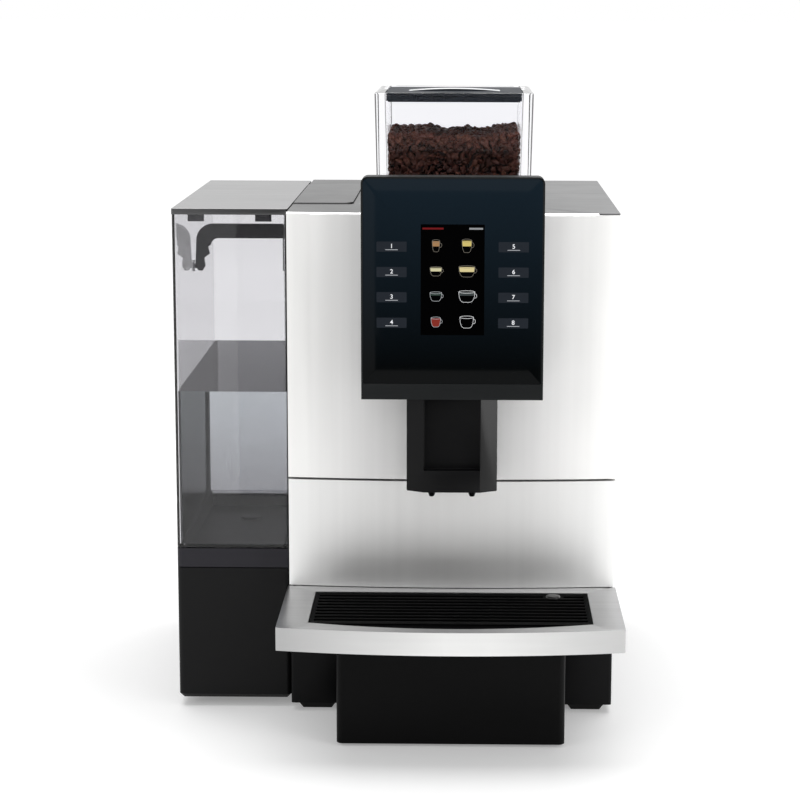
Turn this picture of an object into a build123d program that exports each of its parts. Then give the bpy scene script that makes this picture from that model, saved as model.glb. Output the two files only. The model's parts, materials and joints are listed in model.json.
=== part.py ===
from build123d import *
import math
import os

# Bean-to-cup espresso machine with a separate water tank at its left.
# Millimetres. +X is to the machine's right as seen from the front, +Y is to the back, +Z is up.
# The origin is under the middle of the whole outline, on the counter.

# Overall sizes of the body
body_width = 302.0
body_depth = 351.0
body_top = 474.0
bulge = 7.5  # how far the middle of the front stands out past its corners
sheet = 1.2  # steel covers
seat_gap = 0.3  # clearance between pieces that lift or slide apart
plate_gap = 0.1  # between plates that are clipped together
running_gap = 0.05  # radial clearance of shafts in bores

# Plinth and feet
foot_height = 8.0
plinth_top = 104.0
plinth_wall = 3.0
plinth_setback = 12.0
foot_depth = 30.0
foot_inset = 5.0
foot_clearance = 5.25  # between a front foot and the grounds bin
foot_slope = 35.0

# Front
door_bottom = 229.2
seam = 2.0
tray_top = 126.0
panel_gap = 0.6
return_depth = 22.0
door_edge_radius = 2.0
side_start = 23.5

# Hinge line of the door
hinge_x_inset = 10.0
hinge_y = 9.0
pin_radius = 3.0
bracket_thickness = 2.5
ear_thickness = 2.5
hinge_end_distance = 11.0
hinge_sweep = 13.6  # corner of the top cover round the hinge line, which the door swings past

# Inner frame
frame_sheet = 1.8
frame_front = 30.0
bulkhead_y = 205.5
bulkhead_top = 440.0
shelf_z = 336.0
shelf_front = 90.0

# Screen unit on the door
screen_width = 161.0
screen_bottom = 314.0
screen_top = 511.5
screen_front = 62.0
screen_top_depth = 20.0
screen_corner = 6.0
screen_wall = 2.5
bezel = 1.6
bezel_bottom = 14.0
glass_thickness = 3.0
display_width = 56.0
display_height = 98.0
display_thickness = 4.0
display_middle = 421.0
board_thickness = 1.6

# Coffee outlet
spout_width = 81.2
spout_face = 50.6
spout_front = 56.0
spout_shoulder = 8.0
spout_back = 16.0
spout_bottom = 228.0
spout_height = 105.0
spout_wall = 3.0
grip_depth = 10.0
grip_height = 20.0
nozzle_spacing = 36.4
nozzle_y = 38.0
nozzle_radius = 5.0
nozzle_tip = 2.2
nozzle_bore = 1.5
nozzle_drop = 7.0
rail_width = 22.0
rail_neck = 12.0
rail_lip = 3.0
rail_length = 114.0

# Drip tray
tray_width = 304.0
tray_reach = 136.0
tray_bulge = 13.0
fascia_height = 20.7
tray_sheet = 1.5
tray_tongue = 8.0
grille_width = 250.0
grille_back = 21.0
grille_front = 120.0
grille_bulge = 17.0
grille_thickness = 3.0
grille_drop = 0.8
grille_rim = 4.0
slat_pitch = 9.6
slat_width = 4.6
basin_wall = 2.0
basin_margin = 3.0
runner_inner = 72.0
runner_outer = 118.0
runner_length = 112.0
runner_height = 15.0
float_radius = 7.0
float_height = 20.0
float_inset = 32.0
float_y = 31.0

# Grounds bin
bin_width = 205.5
bin_front = 85.0
bin_back = 195.0
bin_bottom = 3.0
bin_wall = 2.5
bin_rim = 3.5
bin_rim_thickness = 3.0
bin_corner = 6.0
tunnel_gap = 1.25

# Bean hopper
hopper_width = 147.4
hopper_depth = 168.0
hopper_front = 52.0
overall_height = 580.0
hopper_corner = 10.0
hopper_draft = 1.4
hopper_side_wall = 9.5
hopper_wall = 4.0
hopper_floor = 4.0
bean_drop = 38.0
funnel_bottom = 436.0
spigot_radius = 20.0
spigot_bore = 17.0
spigot_bottom = 402.0
shutter_z = 424.0
shutter_thickness = 2.0
shutter_width = 33.0
lid_thickness = 1.6
lid_skirt = 8.5
lid_arch_rise = 1.0
lid_arch_width = 97.0
lid_arch_depth = 26.0

# Ground-coffee lid
powder_width = 56.0
powder_front = 81.0
powder_length = 199.0
powder_thickness = 2.4
powder_proud = 1.2
powder_corner = 9.0
powder_gap = 0.5
powder_back_gap = 2.4
powder_well_depth = 26.0
tail_room = 7.4  # for the back edge of the lid as it swings down behind its hinge
lug_radius = 2.2

# Grinder
grinder_y = 136.0
grinder_radius = 50.0
burr_radius = 32.0
burr_bore = 12.0
burr_height = 8.0
burr_gap = 0.8
grind_chamber_radius = 38.0
ring_radius = 44.0
ring_bottom = 389.0
ring_flange_z = 409.0
ring_flange = 5.0
grinder_shaft_radius = 6.0
motor_radius = 40.0
motor_length = 118.0

# Brew unit
brew_y = 50.0
brew_half_width = 64.5
brew_plate = 2.5
brew_top = 320.0
chamber_radius = 27.0
chamber_bore = 22.5
chamber_bottom = 250.0
piston_height = 12.0
piston_rest = 256.0
screw_y = 82.0
screw_radius = 5.0
carriage_z = 190.0
carriage_height = 12.0
brew_motor_top = 170.0

# Water side
boiler_x = -88.0
boiler_y = 268.0
boiler_radius = 38.0
boiler_bottom = 150.0
boiler_height = 160.0
hose_radius = 3.0
hose_bore = 2.0
hose_z = 118.0

# Fan, inlet and switch on the back panel
fan_size = 80.0
fan_depth = 25.0
fan_x = 60.0
fan_z = 390.0
fan_rotor_radius = 36.5
fan_hub_radius = 16.0
fan_blades = 7
fan_hole_radius = 3.2
fan_hole_pitch = 8.2
fan_hole_rings = 4
inlet_x = 112.0
inlet_z = 150.0
inlet_width = 28.0
inlet_height = 20.0
switch_x = 86.0
switch_width = 13.0
switch_height = 20.0
switch_tilt = 12.0

# Cover screws
screw_shank = 3.5
screw_head = 7.0
screw_head_height = 2.2
screw_length = 12.0

# Water tank unit
unit_gap = 1.0
tank_width = 106.6
tank_front = 24.0
tank_depth = 306.0
tank_base_top = 135.5
tank_seam = 1.0
cradle_top = 154.5
tank_bottom = 155.3
tank_wall = 3.0
tank_corner = 5.0
tank_lid_thickness = 5.6
tank_floor_z = 139.0
water_level = 304.0
tank_inset = 4.0
base_wall = 3.0
base_chamfer = 4.0
bail_y = 160.0
bail_pivot_z = 405.0
bail_top = 446.5
bail_bar = 14.0
bail_thickness = 5.0
tab_width = 15.0
tab_height = 6.5
tab_offset = 31.0
valve_y = 250.0
valve_radius = 10.0

# Worked-out places
half = body_width / 2
overall_width = tray_width / 2 + half + unit_gap + tank_width
overall_depth = tray_reach + tray_bulge + body_depth + screw_head_height
body_x = overall_width / 2 - tray_width / 2
front_y = -overall_depth / 2 + tray_reach + tray_bulge
tank_right = -half - unit_gap
tank_left = tank_right - tank_width
tank_mid = (tank_left + tank_right) / 2
tank_back = tank_front + tank_depth
panel_top = door_bottom - seam
cover_z = body_top - sheet
hinge_x = half - hinge_x_inset
powder_right = -half + powder_width
lid_z = body_top + powder_proud - powder_thickness
powder_hinge_y = powder_front + powder_length - 4
powder_hinge_z = lid_z - 2.6
hopper_mid = hopper_front + hopper_depth / 2
hopper_top = overall_height - lid_arch_rise
bean_level = hopper_top - bean_drop
foot_length = (body_width - bin_width) / 2 - foot_inset - foot_clearance
float_x = grille_width / 2 - float_inset


def level(z):
    """Level plane at height z: x from the middle of the body, y back from its front corners."""
    return Plane((body_x, front_y, z))


def facing(y):
    """Upright plane across the body, y behind its front corners, looking forwards."""
    return Plane(origin=(body_x, front_y + y, 0), x_dir=(1, 0, 0), z_dir=(0, -1, 0))


def across(x):
    """Upright plane along the body at x, looking to the right."""
    return Plane(origin=(body_x + x, front_y, 0), x_dir=(0, 1, 0), z_dir=(1, 0, 0))


def block(plane, low, high, height, mode=Mode.ADD, radius=0.0, taper=0.0):
    """Rectangle between two corners of a plane, extruded along the plane's normal."""
    wide = high[0] - low[0]
    deep = high[1] - low[1]
    with BuildSketch(plane) as outline:
        with Locations(((low[0] + high[0]) / 2, (low[1] + high[1]) / 2)):
            if radius:
                RectangleRounded(wide, deep, radius)
            else:
                Rectangle(wide, deep)
    extrude(outline.sketch, amount=height, mode=mode, taper=taper)


def disc(plane, centre, radius, height, mode=Mode.ADD, bore=0.0):
    """Round or ring-shaped plate on a plane, extruded along the plane's normal."""
    with BuildSketch(plane) as outline:
        with Locations(centre):
            Circle(radius)
            if bore:
                Circle(bore, mode=Mode.SUBTRACT)
    extrude(outline.sketch, amount=height, mode=mode)


def bowed(plane, half_width, front, sagitta, back, height, mode=Mode.ADD):
    """Plate whose front edge is an arc that stands out by sagitta in its middle."""
    with BuildSketch(plane) as outline:
        with BuildLine():
            ThreePointArc((-half_width, front), (0, front - sagitta), (half_width, front))
            if back == front:
                Line((half_width, front), (-half_width, front))
            else:
                Polyline((half_width, front), (half_width, back), (-half_width, back), (-half_width, front))
        make_face()
    extrude(outline.sketch, amount=height, mode=mode)


def save(part, name):
    """Label a finished piece and write it to its own file."""
    part.label = name
    export_step(part, f"parts/{name}.step")


os.makedirs("parts", exist_ok=True)

# Plinth: moulded base with a tunnel for the grounds bin and a puck opening over it
tunnel_half = bin_width / 2 + tunnel_gap
rim_z = plinth_top - plinth_wall - seat_gap - bin_rim_thickness
pod_inner = tunnel_half + bin_rim + 2 * plinth_wall
puck_half = 58.0
puck_front = 16.0
puck_back = 110.0
pad_depth = 60.0
with BuildPart() as base_plinth:
    block(level(foot_height), (-half, plinth_setback), (half, body_depth), plinth_top - foot_height)
    block(level(foot_height), (-tunnel_half, plinth_setback), (tunnel_half, bin_back + plinth_wall),
          plinth_top - plinth_wall - foot_height, Mode.SUBTRACT)
    block(level(rim_z - seat_gap), (-tunnel_half - bin_rim, plinth_setback),
          (tunnel_half + bin_rim, bin_back + plinth_wall),
          bin_rim_thickness + 2 * seat_gap, Mode.SUBTRACT)
    block(level(plinth_top - plinth_wall), (-puck_half, puck_front), (puck_half, puck_back),
          plinth_wall, Mode.SUBTRACT)
    for side in (-1, 1):
        inner = sorted((side * pod_inner, side * (half - plinth_wall)))
        block(level(foot_height + plinth_wall), (inner[0], plinth_setback + plinth_wall),
              (inner[1], body_depth - plinth_wall),
              plinth_top - foot_height - 2 * plinth_wall, Mode.SUBTRACT)
        block(level(foot_height), (inner[0], plinth_setback + pad_depth),
              (inner[1], body_depth - pad_depth), plinth_wall, Mode.SUBTRACT)
    block(level(foot_height), (-tunnel_half, bin_back + 2 * plinth_wall),
          (tunnel_half, body_depth - plinth_wall),
          plinth_top - foot_height - plinth_wall, Mode.SUBTRACT)
    fillet(base_plinth.edges().filter_by(Axis.Z).filter_by_position(
        Axis.X, body_x - half - 0.1, body_x - half + 0.1), radius=2.5)
    fillet(base_plinth.edges().filter_by(Axis.Z).filter_by_position(
        Axis.X, body_x + half - 0.1, body_x + half + 0.1), radius=2.5)
save(base_plinth.part, "base_plinth")

# Rubber feet: four tapered ones under the plinth and four round ones under the tank base
foot_mid_x = half - foot_inset - foot_length / 2
foot_ys = (plinth_setback + foot_inset + foot_depth / 2, body_depth - foot_inset - foot_depth / 2)
pad_xs = (tank_mid - 32, tank_mid + 32)
pad_ys = (tank_front + 40, tank_back - 40)
pad_radius = 12.0
with BuildPart() as rubber_feet:
    with BuildSketch(level(foot_height)):
        for x in (-foot_mid_x, foot_mid_x):
            for y in foot_ys:
                with Locations((x, y)):
                    RectangleRounded(foot_length, foot_depth, 4)
    extrude(amount=-foot_height, taper=foot_slope)
    for x in pad_xs:
        for y in pad_ys:
            disc(level(0), (x, y), pad_radius - 1, foot_height)
save(rubber_feet.part, "rubber_feet")

# Inner frame: side plates, base plate, bulkhead, grinder shelf and the hold-downs over the tray runners
plate_outer = half - sheet
plate_inner = plate_outer - frame_sheet
frame_back = body_depth - sheet
runner_top = plinth_top + seat_gap + runner_height
hold_z = runner_top + seat_gap
window_y = bulkhead_y / 2 + 30
window_rise = 64.0
with BuildPart() as inner_frame:
    for side in (-1, 1):
        span = sorted((side * plate_inner, side * plate_outer))
        with BuildSketch(across(span[0])):
            with BuildLine():
                Polyline(
                    (return_depth / 4, plinth_top), (frame_back, plinth_top), (frame_back, cover_z),
                    (frame_front, cover_z), (frame_front, panel_top - sheet),
                    (return_depth / 4, panel_top - sheet),
                    close=True)
            make_face()
        extrude(amount=frame_sheet)
        with BuildSketch(across(span[0])):
            with Locations((window_y, shelf_z + window_rise), (bulkhead_y + 72, shelf_z + window_rise),
                           (window_y, shelf_z - window_rise - 2)):
                RectangleRounded(60, 70, 8)
        extrude(amount=frame_sheet, mode=Mode.SUBTRACT)
        if side < 0:
            disc(across(span[0]), (valve_y, hose_z), hose_radius + seat_gap, frame_sheet, Mode.SUBTRACT)
            block(level(powder_hinge_z - tail_room), (span[0], powder_hinge_y),
                  (span[1], powder_hinge_y + tail_room), 2 * tail_room, Mode.SUBTRACT)
        flange = sorted((side * runner_inner, side * plate_inner))
        block(level(hold_z), (flange[0], frame_front - 10), (flange[1], runner_length + 3), frame_sheet)
    block(level(plinth_top), (-plate_inner, runner_length + 3), (plate_inner, frame_back), frame_sheet)
    block(level(plinth_top), (-plate_inner, runner_length + 3),
          (plate_inner, runner_length + 3 + frame_sheet), hold_z + frame_sheet - plinth_top)
    block(level(plinth_top), (-plate_inner, bulkhead_y), (plate_inner, bulkhead_y + frame_sheet),
          bulkhead_top - plinth_top)
    block(level(shelf_z - frame_sheet), (-plate_inner, shelf_front), (plate_inner, bulkhead_y), frame_sheet)
    disc(level(shelf_z - frame_sheet), (0, grinder_y), grinder_shaft_radius + 8, frame_sheet, Mode.SUBTRACT)
    with BuildSketch(facing(bulkhead_y + frame_sheet)):
        with Locations((boiler_x, boiler_bottom + boiler_height - 14)):
            RectangleRounded(34, 22, 5)
    extrude(amount=frame_sheet, mode=Mode.SUBTRACT)
save(inner_frame.part, "inner_frame")

# Side panels
vent_count = 12
vent_pitch = 12.0
for side, name in ((-1, "left_side_panel"), (1, "right_side_panel")):
    span = sorted((side * plate_outer, side * half))
    with BuildPart() as side_panel:
        block(across(span[0]), (side_start, plinth_top), (body_depth, cover_z), sheet)
        if side < 0:
            block(across(span[0]), (powder_front - powder_gap, cover_z - powder_well_depth),
                  (powder_front + powder_length + powder_back_gap, cover_z), sheet, Mode.SUBTRACT)
            disc(across(span[0]), (valve_y, hose_z), hose_radius + seat_gap, sheet, Mode.SUBTRACT)
        with BuildSketch(across(span[0])):
            for row in range(vent_count):
                with Locations((body_depth - 60, 150 + row * vent_pitch)):
                    SlotOverall(60, 4)
        extrude(amount=sheet, mode=Mode.SUBTRACT)
    save(side_panel.part, name)

# Back panel with vents, fan grille, and cut-outs for inlet, switch and screws
back_bottom = plinth_top
screw_xs = (-plate_outer + 12, plate_outer - 12)
screw_zs = (plinth_top + 15, cover_z - 15)
with BuildPart() as back_panel:
    block(facing(body_depth), (-plate_outer, back_bottom), (plate_outer, cover_z), sheet)
    with BuildSketch(facing(body_depth)):
        for row in range(10):
            with Locations((-80, 250 + row * vent_pitch)):
                SlotOverall(90, 5)
        with Locations((inlet_x, inlet_z)):
            Rectangle(inlet_width, inlet_height)
        with Locations((switch_x, inlet_z)):
            Rectangle(switch_width + 4, switch_height + 4)
        with Locations((fan_x, fan_z)):
            for ring in range(1, fan_hole_rings + 1):
                with PolarLocations(ring * fan_hole_pitch, 6 * ring):
                    Circle(fan_hole_radius)
        for x in screw_xs:
            for z in screw_zs:
                with Locations((x, z)):
                    Circle(screw_shank / 2 + seat_gap)
    extrude(amount=sheet, mode=Mode.SUBTRACT)
save(back_panel.part, "back_panel")

# Top cover: flat plate, open under the hopper and round the ground-coffee lid
cover_front = 2.5
hopper_hole_half = hopper_width / 2 - 9
hopper_hole_front = hopper_front + 11
hopper_hole_back = hopper_front + hopper_depth - 11
with BuildPart() as top_cover:
    bowed(level(cover_z), half, 0, bulge, body_depth, sheet)
    with BuildSketch(level(cover_z)) as door_sweep:
        with BuildLine():
            ThreePointArc((-half, cover_front), (0, cover_front - bulge), (half, cover_front))
            Polyline((half, cover_front), (half, -bulge), (-half, -bulge), (-half, cover_front))
        make_face()
        with Locations((hinge_x, hinge_y)):
            Circle(hinge_sweep, mode=Mode.SUBTRACT)
    extrude(door_sweep.sketch, amount=sheet, mode=Mode.SUBTRACT)
    block(level(cover_z), (-hopper_hole_half, hopper_hole_front), (hopper_hole_half, hopper_hole_back),
          sheet, Mode.SUBTRACT, radius=8)
    block(level(cover_z), (-half, powder_front - powder_gap),
          (powder_right + powder_gap, powder_front + powder_length + powder_back_gap), sheet, Mode.SUBTRACT)
save(top_cover.part, "top_cover")

# Lower front panel: bowed sheet with side and top returns
with BuildPart() as lower_front_panel:
    bowed(level(tray_top + panel_gap), half, 0, bulge, return_depth, panel_top - tray_top - panel_gap)
    bowed(level(tray_top + panel_gap), half - sheet, sheet, bulge, return_depth,
          panel_top - tray_top - panel_gap - sheet, Mode.SUBTRACT)
    fillet(lower_front_panel.edges().filter_by(Axis.Z).group_by(Axis.Y)[0], radius=1.0)
save(lower_front_panel.part, "lower_front_panel")

# Front door: bowed sheet with a rounded top edge, returns all round, and an ear at each hinge
door_top = body_top
low_bracket_z = door_bottom + hinge_end_distance
high_bracket_z = door_top - hinge_end_distance - bracket_thickness - 4
slot_room = 0.6
with BuildPart() as front_door:
    bowed(level(door_bottom), half, 0, bulge, return_depth, door_top - door_bottom)
    fillet(front_door.edges().group_by(Axis.Z)[-1].sort_by(Axis.Y)[0], radius=door_edge_radius)
    bowed(level(door_bottom + sheet), half - sheet, sheet, bulge, return_depth,
          door_top - door_bottom - sheet - door_edge_radius, Mode.SUBTRACT)
    bowed(level(cover_z - 1), half, cover_front - seat_gap, bulge, return_depth, 3, Mode.SUBTRACT)
    disc(level(cover_z - seat_gap), (hinge_x, hinge_y), hinge_sweep + seat_gap, 3, Mode.SUBTRACT)
    for z in (low_bracket_z, high_bracket_z):
        block(level(z - slot_room), (half - sheet - 1, sheet + 1), (half, return_depth),
              bracket_thickness + 2 * slot_room, Mode.SUBTRACT)
    low_ear_z = low_bracket_z + bracket_thickness + 2 * seat_gap
    high_ear_z = high_bracket_z - ear_thickness - 2 * seat_gap
    for z in (low_ear_z, high_ear_z):
        block(level(z), (hinge_x - 7, sheet / 2), (half - sheet / 2, hinge_y + 6), ear_thickness)
        disc(level(z), (hinge_x, hinge_y), pin_radius + running_gap, ear_thickness, Mode.SUBTRACT)
save(front_door.part, "front_door")

# Hinge brackets on the frame with their pins
with BuildPart() as door_hinges:
    for z, up in ((low_bracket_z, 1), (high_bracket_z, -1)):
        block(level(z), (hinge_x - 5, hinge_y - 5), (hinge_x + 5, frame_front + 12), bracket_thickness)
        block(level(z), (hinge_x - 5, frame_front + 2), (plate_inner, frame_front + 12), bracket_thickness)
        pin_low = z if up > 0 else z - ear_thickness - 3 * seat_gap
        disc(level(pin_low), (hinge_x, hinge_y), pin_radius, bracket_thickness + ear_thickness + 3 * seat_gap)
save(door_hinges.part, "door_hinges")

# Magnetic catch at the free edge of the door
with BuildPart() as door_catch:
    block(level(340), (-plate_inner, frame_front - 6), (-plate_inner + 16, frame_front + 14), 40)
    block(level(345), (-plate_inner + 2, return_depth + seat_gap), (-plate_inner + 12, frame_front - 6), 30)
save(door_catch.part, "door_catch")

# Cover screws: pan heads on the back panel, shanks in brackets of the frame
with BuildPart() as cover_screws:
    for x in screw_xs:
        for z in screw_zs:
            disc(facing(body_depth + screw_head_height), (x, z), screw_head / 2, screw_head_height)
            disc(facing(body_depth), (x, z), screw_shank / 2, screw_length)
            with BuildSketch(facing(body_depth + screw_head_height)) as recess:
                with Locations((x, z)):
                    RegularPolygon(1.8, 6)
            extrude(recess.sketch, amount=1.2, mode=Mode.SUBTRACT)
save(cover_screws.part, "cover_screws")

# Ground-coffee chute: a shallow well under its lid with lugs for the lid's pin, and a slanted duct of
# four plates that hang by their lips in the well's floor and lead to the brew unit
barrel_radius = 1.8
barrel_pin = 1.2
barrel_low = -half + 12
barrel_high = powder_right - 8
well_low = (-plate_inner + seat_gap, powder_front)
well_high = (powder_right - seat_gap, powder_front + powder_length + powder_back_gap - 2 * seat_gap)
well_bottom = cover_z - powder_well_depth
chute_wall = 2.0
chute_half = 14.0
chute_mouth = (-118.0, 106.0)
chute_end = (-36.0, 54.0)
funnel_top_z = 348.7
tube_half = chute_half + chute_wall
tube_lean = 2.0
tube_flange = 0.5
tube_lip = 3.0
tube_top = well_bottom + chute_wall + plate_gap
plate_half = chute_half - plate_gap
duct_plates = (
    ((-tube_half, -tube_half), (-chute_half, tube_half), (-tube_lip, 0)),
    ((chute_half, -tube_half), (tube_half, tube_half), (tube_lip, 0)),
    ((-plate_half, -tube_half), (plate_half, -chute_half), (0, -tube_lip)),
    ((-plate_half, chute_half), (plate_half, tube_half), (0, tube_lip)),
)
with BuildPart() as powder_chute:
    block(level(well_bottom), well_low, well_high, powder_well_depth)
    block(level(well_bottom + chute_wall), (well_low[0] + chute_wall, well_low[1] + chute_wall),
          (well_high[0] - chute_wall, well_high[1] - chute_wall), powder_well_depth, Mode.SUBTRACT)
    block(level(powder_hinge_z - tail_room), (well_low[0], powder_hinge_y), well_high, 2 * tail_room,
          Mode.SUBTRACT)
    for low, high in ((well_low[0], barrel_low - seat_gap), (barrel_high + seat_gap, well_high[0])):
        block(level(well_bottom), (low, powder_hinge_y - lug_radius), (high, powder_hinge_y + lug_radius),
              powder_hinge_z - well_bottom)
        disc(across(low), (powder_hinge_y, powder_hinge_z), lug_radius, high - low)
    with BuildSketch(across(well_low[0] + chute_wall)) as pin_hole:
        with Locations((powder_hinge_y, powder_hinge_z)):
            Circle(barrel_pin + running_gap)
    extrude(pin_hole.sketch, amount=well_high[0] - well_low[0] - 2 * chute_wall, mode=Mode.SUBTRACT)
    block(level(well_bottom), (chute_mouth[0] - tube_half - seat_gap, chute_mouth[1] - tube_half - tube_lean),
          (chute_mouth[0] + tube_half + tube_lean, chute_mouth[1] + tube_half + seat_gap), chute_wall,
          Mode.SUBTRACT)
    for low, high, lip in duct_plates:
        middle = ((low[0] + high[0]) / 2, (low[1] + high[1]) / 2)
        ends = []
        for z, centre in ((tube_top, chute_mouth), (funnel_top_z + seat_gap, chute_end)):
            with BuildSketch(level(z)) as plate_end:
                with Locations((centre[0] + middle[0], centre[1] + middle[1])):
                    Rectangle(high[0] - low[0], high[1] - low[1])
            ends.append(plate_end.sketch.face())
        loft(Sketch() + ends)
        lip_low = (chute_mouth[0] + low[0] + min(lip[0], 0), chute_mouth[1] + low[1] + min(lip[1], 0))
        lip_high = (chute_mouth[0] + high[0] + max(lip[0], 0), chute_mouth[1] + high[1] + max(lip[1], 0))
        block(level(tube_top), lip_low, lip_high, tube_flange)
save(powder_chute.part, "powder_chute")

# Ground-coffee lid: plate with a rounded front corner and a hinge barrel with its pin at the back
with BuildPart() as powder_lid:
    block(level(lid_z), (-half, powder_front), (powder_right, powder_front + powder_length), powder_thickness)
    right_front = powder_lid.edges().filter_by(Axis.Z).sort_by(lambda e: e.center().X - e.center().Y)[-1]
    fillet(right_front, radius=powder_corner)
    fillet(powder_lid.edges().group_by(Axis.Z)[-1], radius=0.8)
    block(level(powder_hinge_z), (barrel_low, powder_hinge_y - barrel_radius),
          (barrel_high, powder_hinge_y + barrel_radius), lid_z - powder_hinge_z)
    for radius, low, high in ((barrel_radius, barrel_low, barrel_high),
                              (barrel_pin, barrel_low - 2.5, barrel_high + 2.5)):
        with BuildSketch(across(low)) as barrel:
            with Locations((powder_hinge_y, powder_hinge_z)):
                Circle(radius)
        extrude(barrel.sketch, amount=high - low)
save(powder_lid.part, "powder_lid")

# Grinder housing: open cup on the shelf with an outlet towards the brew unit
cup_floor = 16.0
outlet_low = 352.0
outlet_high = 372.0
outlet_half = 15.0
outlet_reach = 72.0
with BuildPart() as grinder_housing:
    disc(level(shelf_z), (0, grinder_y), grinder_radius, ring_flange_z - seat_gap - shelf_z)
    block(level(outlet_low - 3), (-outlet_half - 3, outlet_reach), (outlet_half + 3, grinder_y),
          outlet_high - outlet_low + 6)
    disc(level(ring_bottom), (0, grinder_y), ring_radius + seat_gap, 40, Mode.SUBTRACT)
    disc(level(shelf_z + cup_floor), (0, grinder_y), grind_chamber_radius, 80, Mode.SUBTRACT)
    block(level(outlet_low), (-outlet_half, outlet_reach), (outlet_half, grinder_y),
          outlet_high - outlet_low, Mode.SUBTRACT)
    block(level(outlet_low - 3), (-outlet_half, outlet_reach), (outlet_half, outlet_reach + 12), 4,
          Mode.SUBTRACT)
    disc(level(shelf_z), (0, grinder_y), grinder_shaft_radius + 2 * seat_gap, cup_floor, Mode.SUBTRACT)
save(grinder_housing.part, "grinder_housing")

# Grinder motor under the shelf, with a bored boss that takes the burr shaft
motor_top = shelf_z - frame_sheet
shaft_depth = 30.0
with BuildPart() as grinder_motor:
    disc(level(motor_top - motor_length), (0, grinder_y), motor_radius, motor_length)
    fillet(grinder_motor.edges().group_by(Axis.Z)[0], radius=4)
    disc(level(motor_top - motor_length - 12), (0, grinder_y), 14, 12)
    disc(level(motor_top), (0, grinder_y), grinder_shaft_radius + 7, frame_sheet)
    disc(level(motor_top - shaft_depth), (0, grinder_y), grinder_shaft_radius + running_gap,
         shaft_depth + frame_sheet, Mode.SUBTRACT)
save(grinder_motor.part, "grinder_motor")

# Burrs: toothed rings that face each other; the lower one turns on its shaft
lower_burr_z = ring_bottom - 2 * burr_height - burr_gap
burr_teeth = 12
tooth_width = 2.4
tooth_depth = 1.6
with BuildPart() as lower_burr:
    disc(level(lower_burr_z), (0, grinder_y), burr_radius, burr_height, bore=burr_bore)
    with BuildSketch(level(lower_burr_z + burr_height)) as grooves:
        with Locations((0, grinder_y)):
            with PolarLocations((burr_radius + burr_bore) / 2, burr_teeth):
                Rectangle(burr_radius - burr_bore - 4, tooth_width, rotation=24)
    extrude(grooves.sketch, amount=-tooth_depth, mode=Mode.SUBTRACT)
save(lower_burr.part, "lower_burr")

with BuildPart() as upper_burr:
    disc(level(ring_bottom - burr_height), (0, grinder_y), burr_radius, burr_height, bore=burr_bore)
    with BuildSketch(level(ring_bottom - burr_height)) as grooves:
        with Locations((0, grinder_y)):
            with PolarLocations((burr_radius + burr_bore) / 2, burr_teeth):
                Rectangle(burr_radius - burr_bore - 4, tooth_width, rotation=24)
    extrude(grooves.sketch, amount=tooth_depth, mode=Mode.SUBTRACT)
save(upper_burr.part, "upper_burr")

carrier_height = 5.0
with BuildPart() as burr_shaft:
    disc(level(lower_burr_z - carrier_height), (0, grinder_y), burr_radius + 2, carrier_height)
    disc(level(lower_burr_z), (0, grinder_y), burr_bore - 1, burr_height - 2)
    disc(level(motor_top - shaft_depth + 2), (0, grinder_y), grinder_shaft_radius,
         lower_burr_z - motor_top + shaft_depth - 4)
save(burr_shaft.part, "burr_shaft")

# Adjusting ring: holds the upper burr and takes the hopper's spigot; toothed flange for the setting key
ring_teeth = 36
with BuildPart() as adjust_ring:
    disc(level(ring_bottom), (0, grinder_y), ring_radius, ring_flange_z - ring_bottom)
    disc(level(ring_flange_z), (0, grinder_y), ring_radius + ring_flange, ring_flange)
    with BuildSketch(level(ring_flange_z)) as notches:
        with Locations((0, grinder_y)):
            with PolarLocations(ring_radius + ring_flange, ring_teeth):
                Rectangle(4, 3.6)
    extrude(notches.sketch, amount=ring_flange, mode=Mode.SUBTRACT)
    disc(level(ring_bottom), (0, grinder_y), burr_bore + 2, 60, Mode.SUBTRACT)
    disc(level(spigot_bottom - seat_gap), (0, grinder_y), spigot_radius + seat_gap, 60, Mode.SUBTRACT)
save(adjust_ring.part, "adjust_ring")

# Dosing chute: funnel over the brewing chamber
with BuildPart() as dosing_chute:
    with BuildSketch(level(funnel_top_z)) as wide_end:
        with Locations((0, brew_y + 5)):
            Rectangle(108, 58)
    with BuildSketch(level(brew_top + 4)) as narrow_end:
        with Locations((0, brew_y)):
            Circle(chamber_bore)
    loft(Sketch() + [wide_end.sketch.face(), narrow_end.sketch.face()])
    with BuildSketch(level(funnel_top_z)) as wide_bore:
        with Locations((0, brew_y + 5)):
            Rectangle(104, 54)
    with BuildSketch(level(brew_top + 4)) as narrow_bore:
        with Locations((0, brew_y)):
            Circle(chamber_bore - 2)
    loft(Sketch() + [wide_bore.sketch.face(), narrow_bore.sketch.face()], mode=Mode.SUBTRACT)
save(dosing_chute.part, "dosing_chute")

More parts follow.
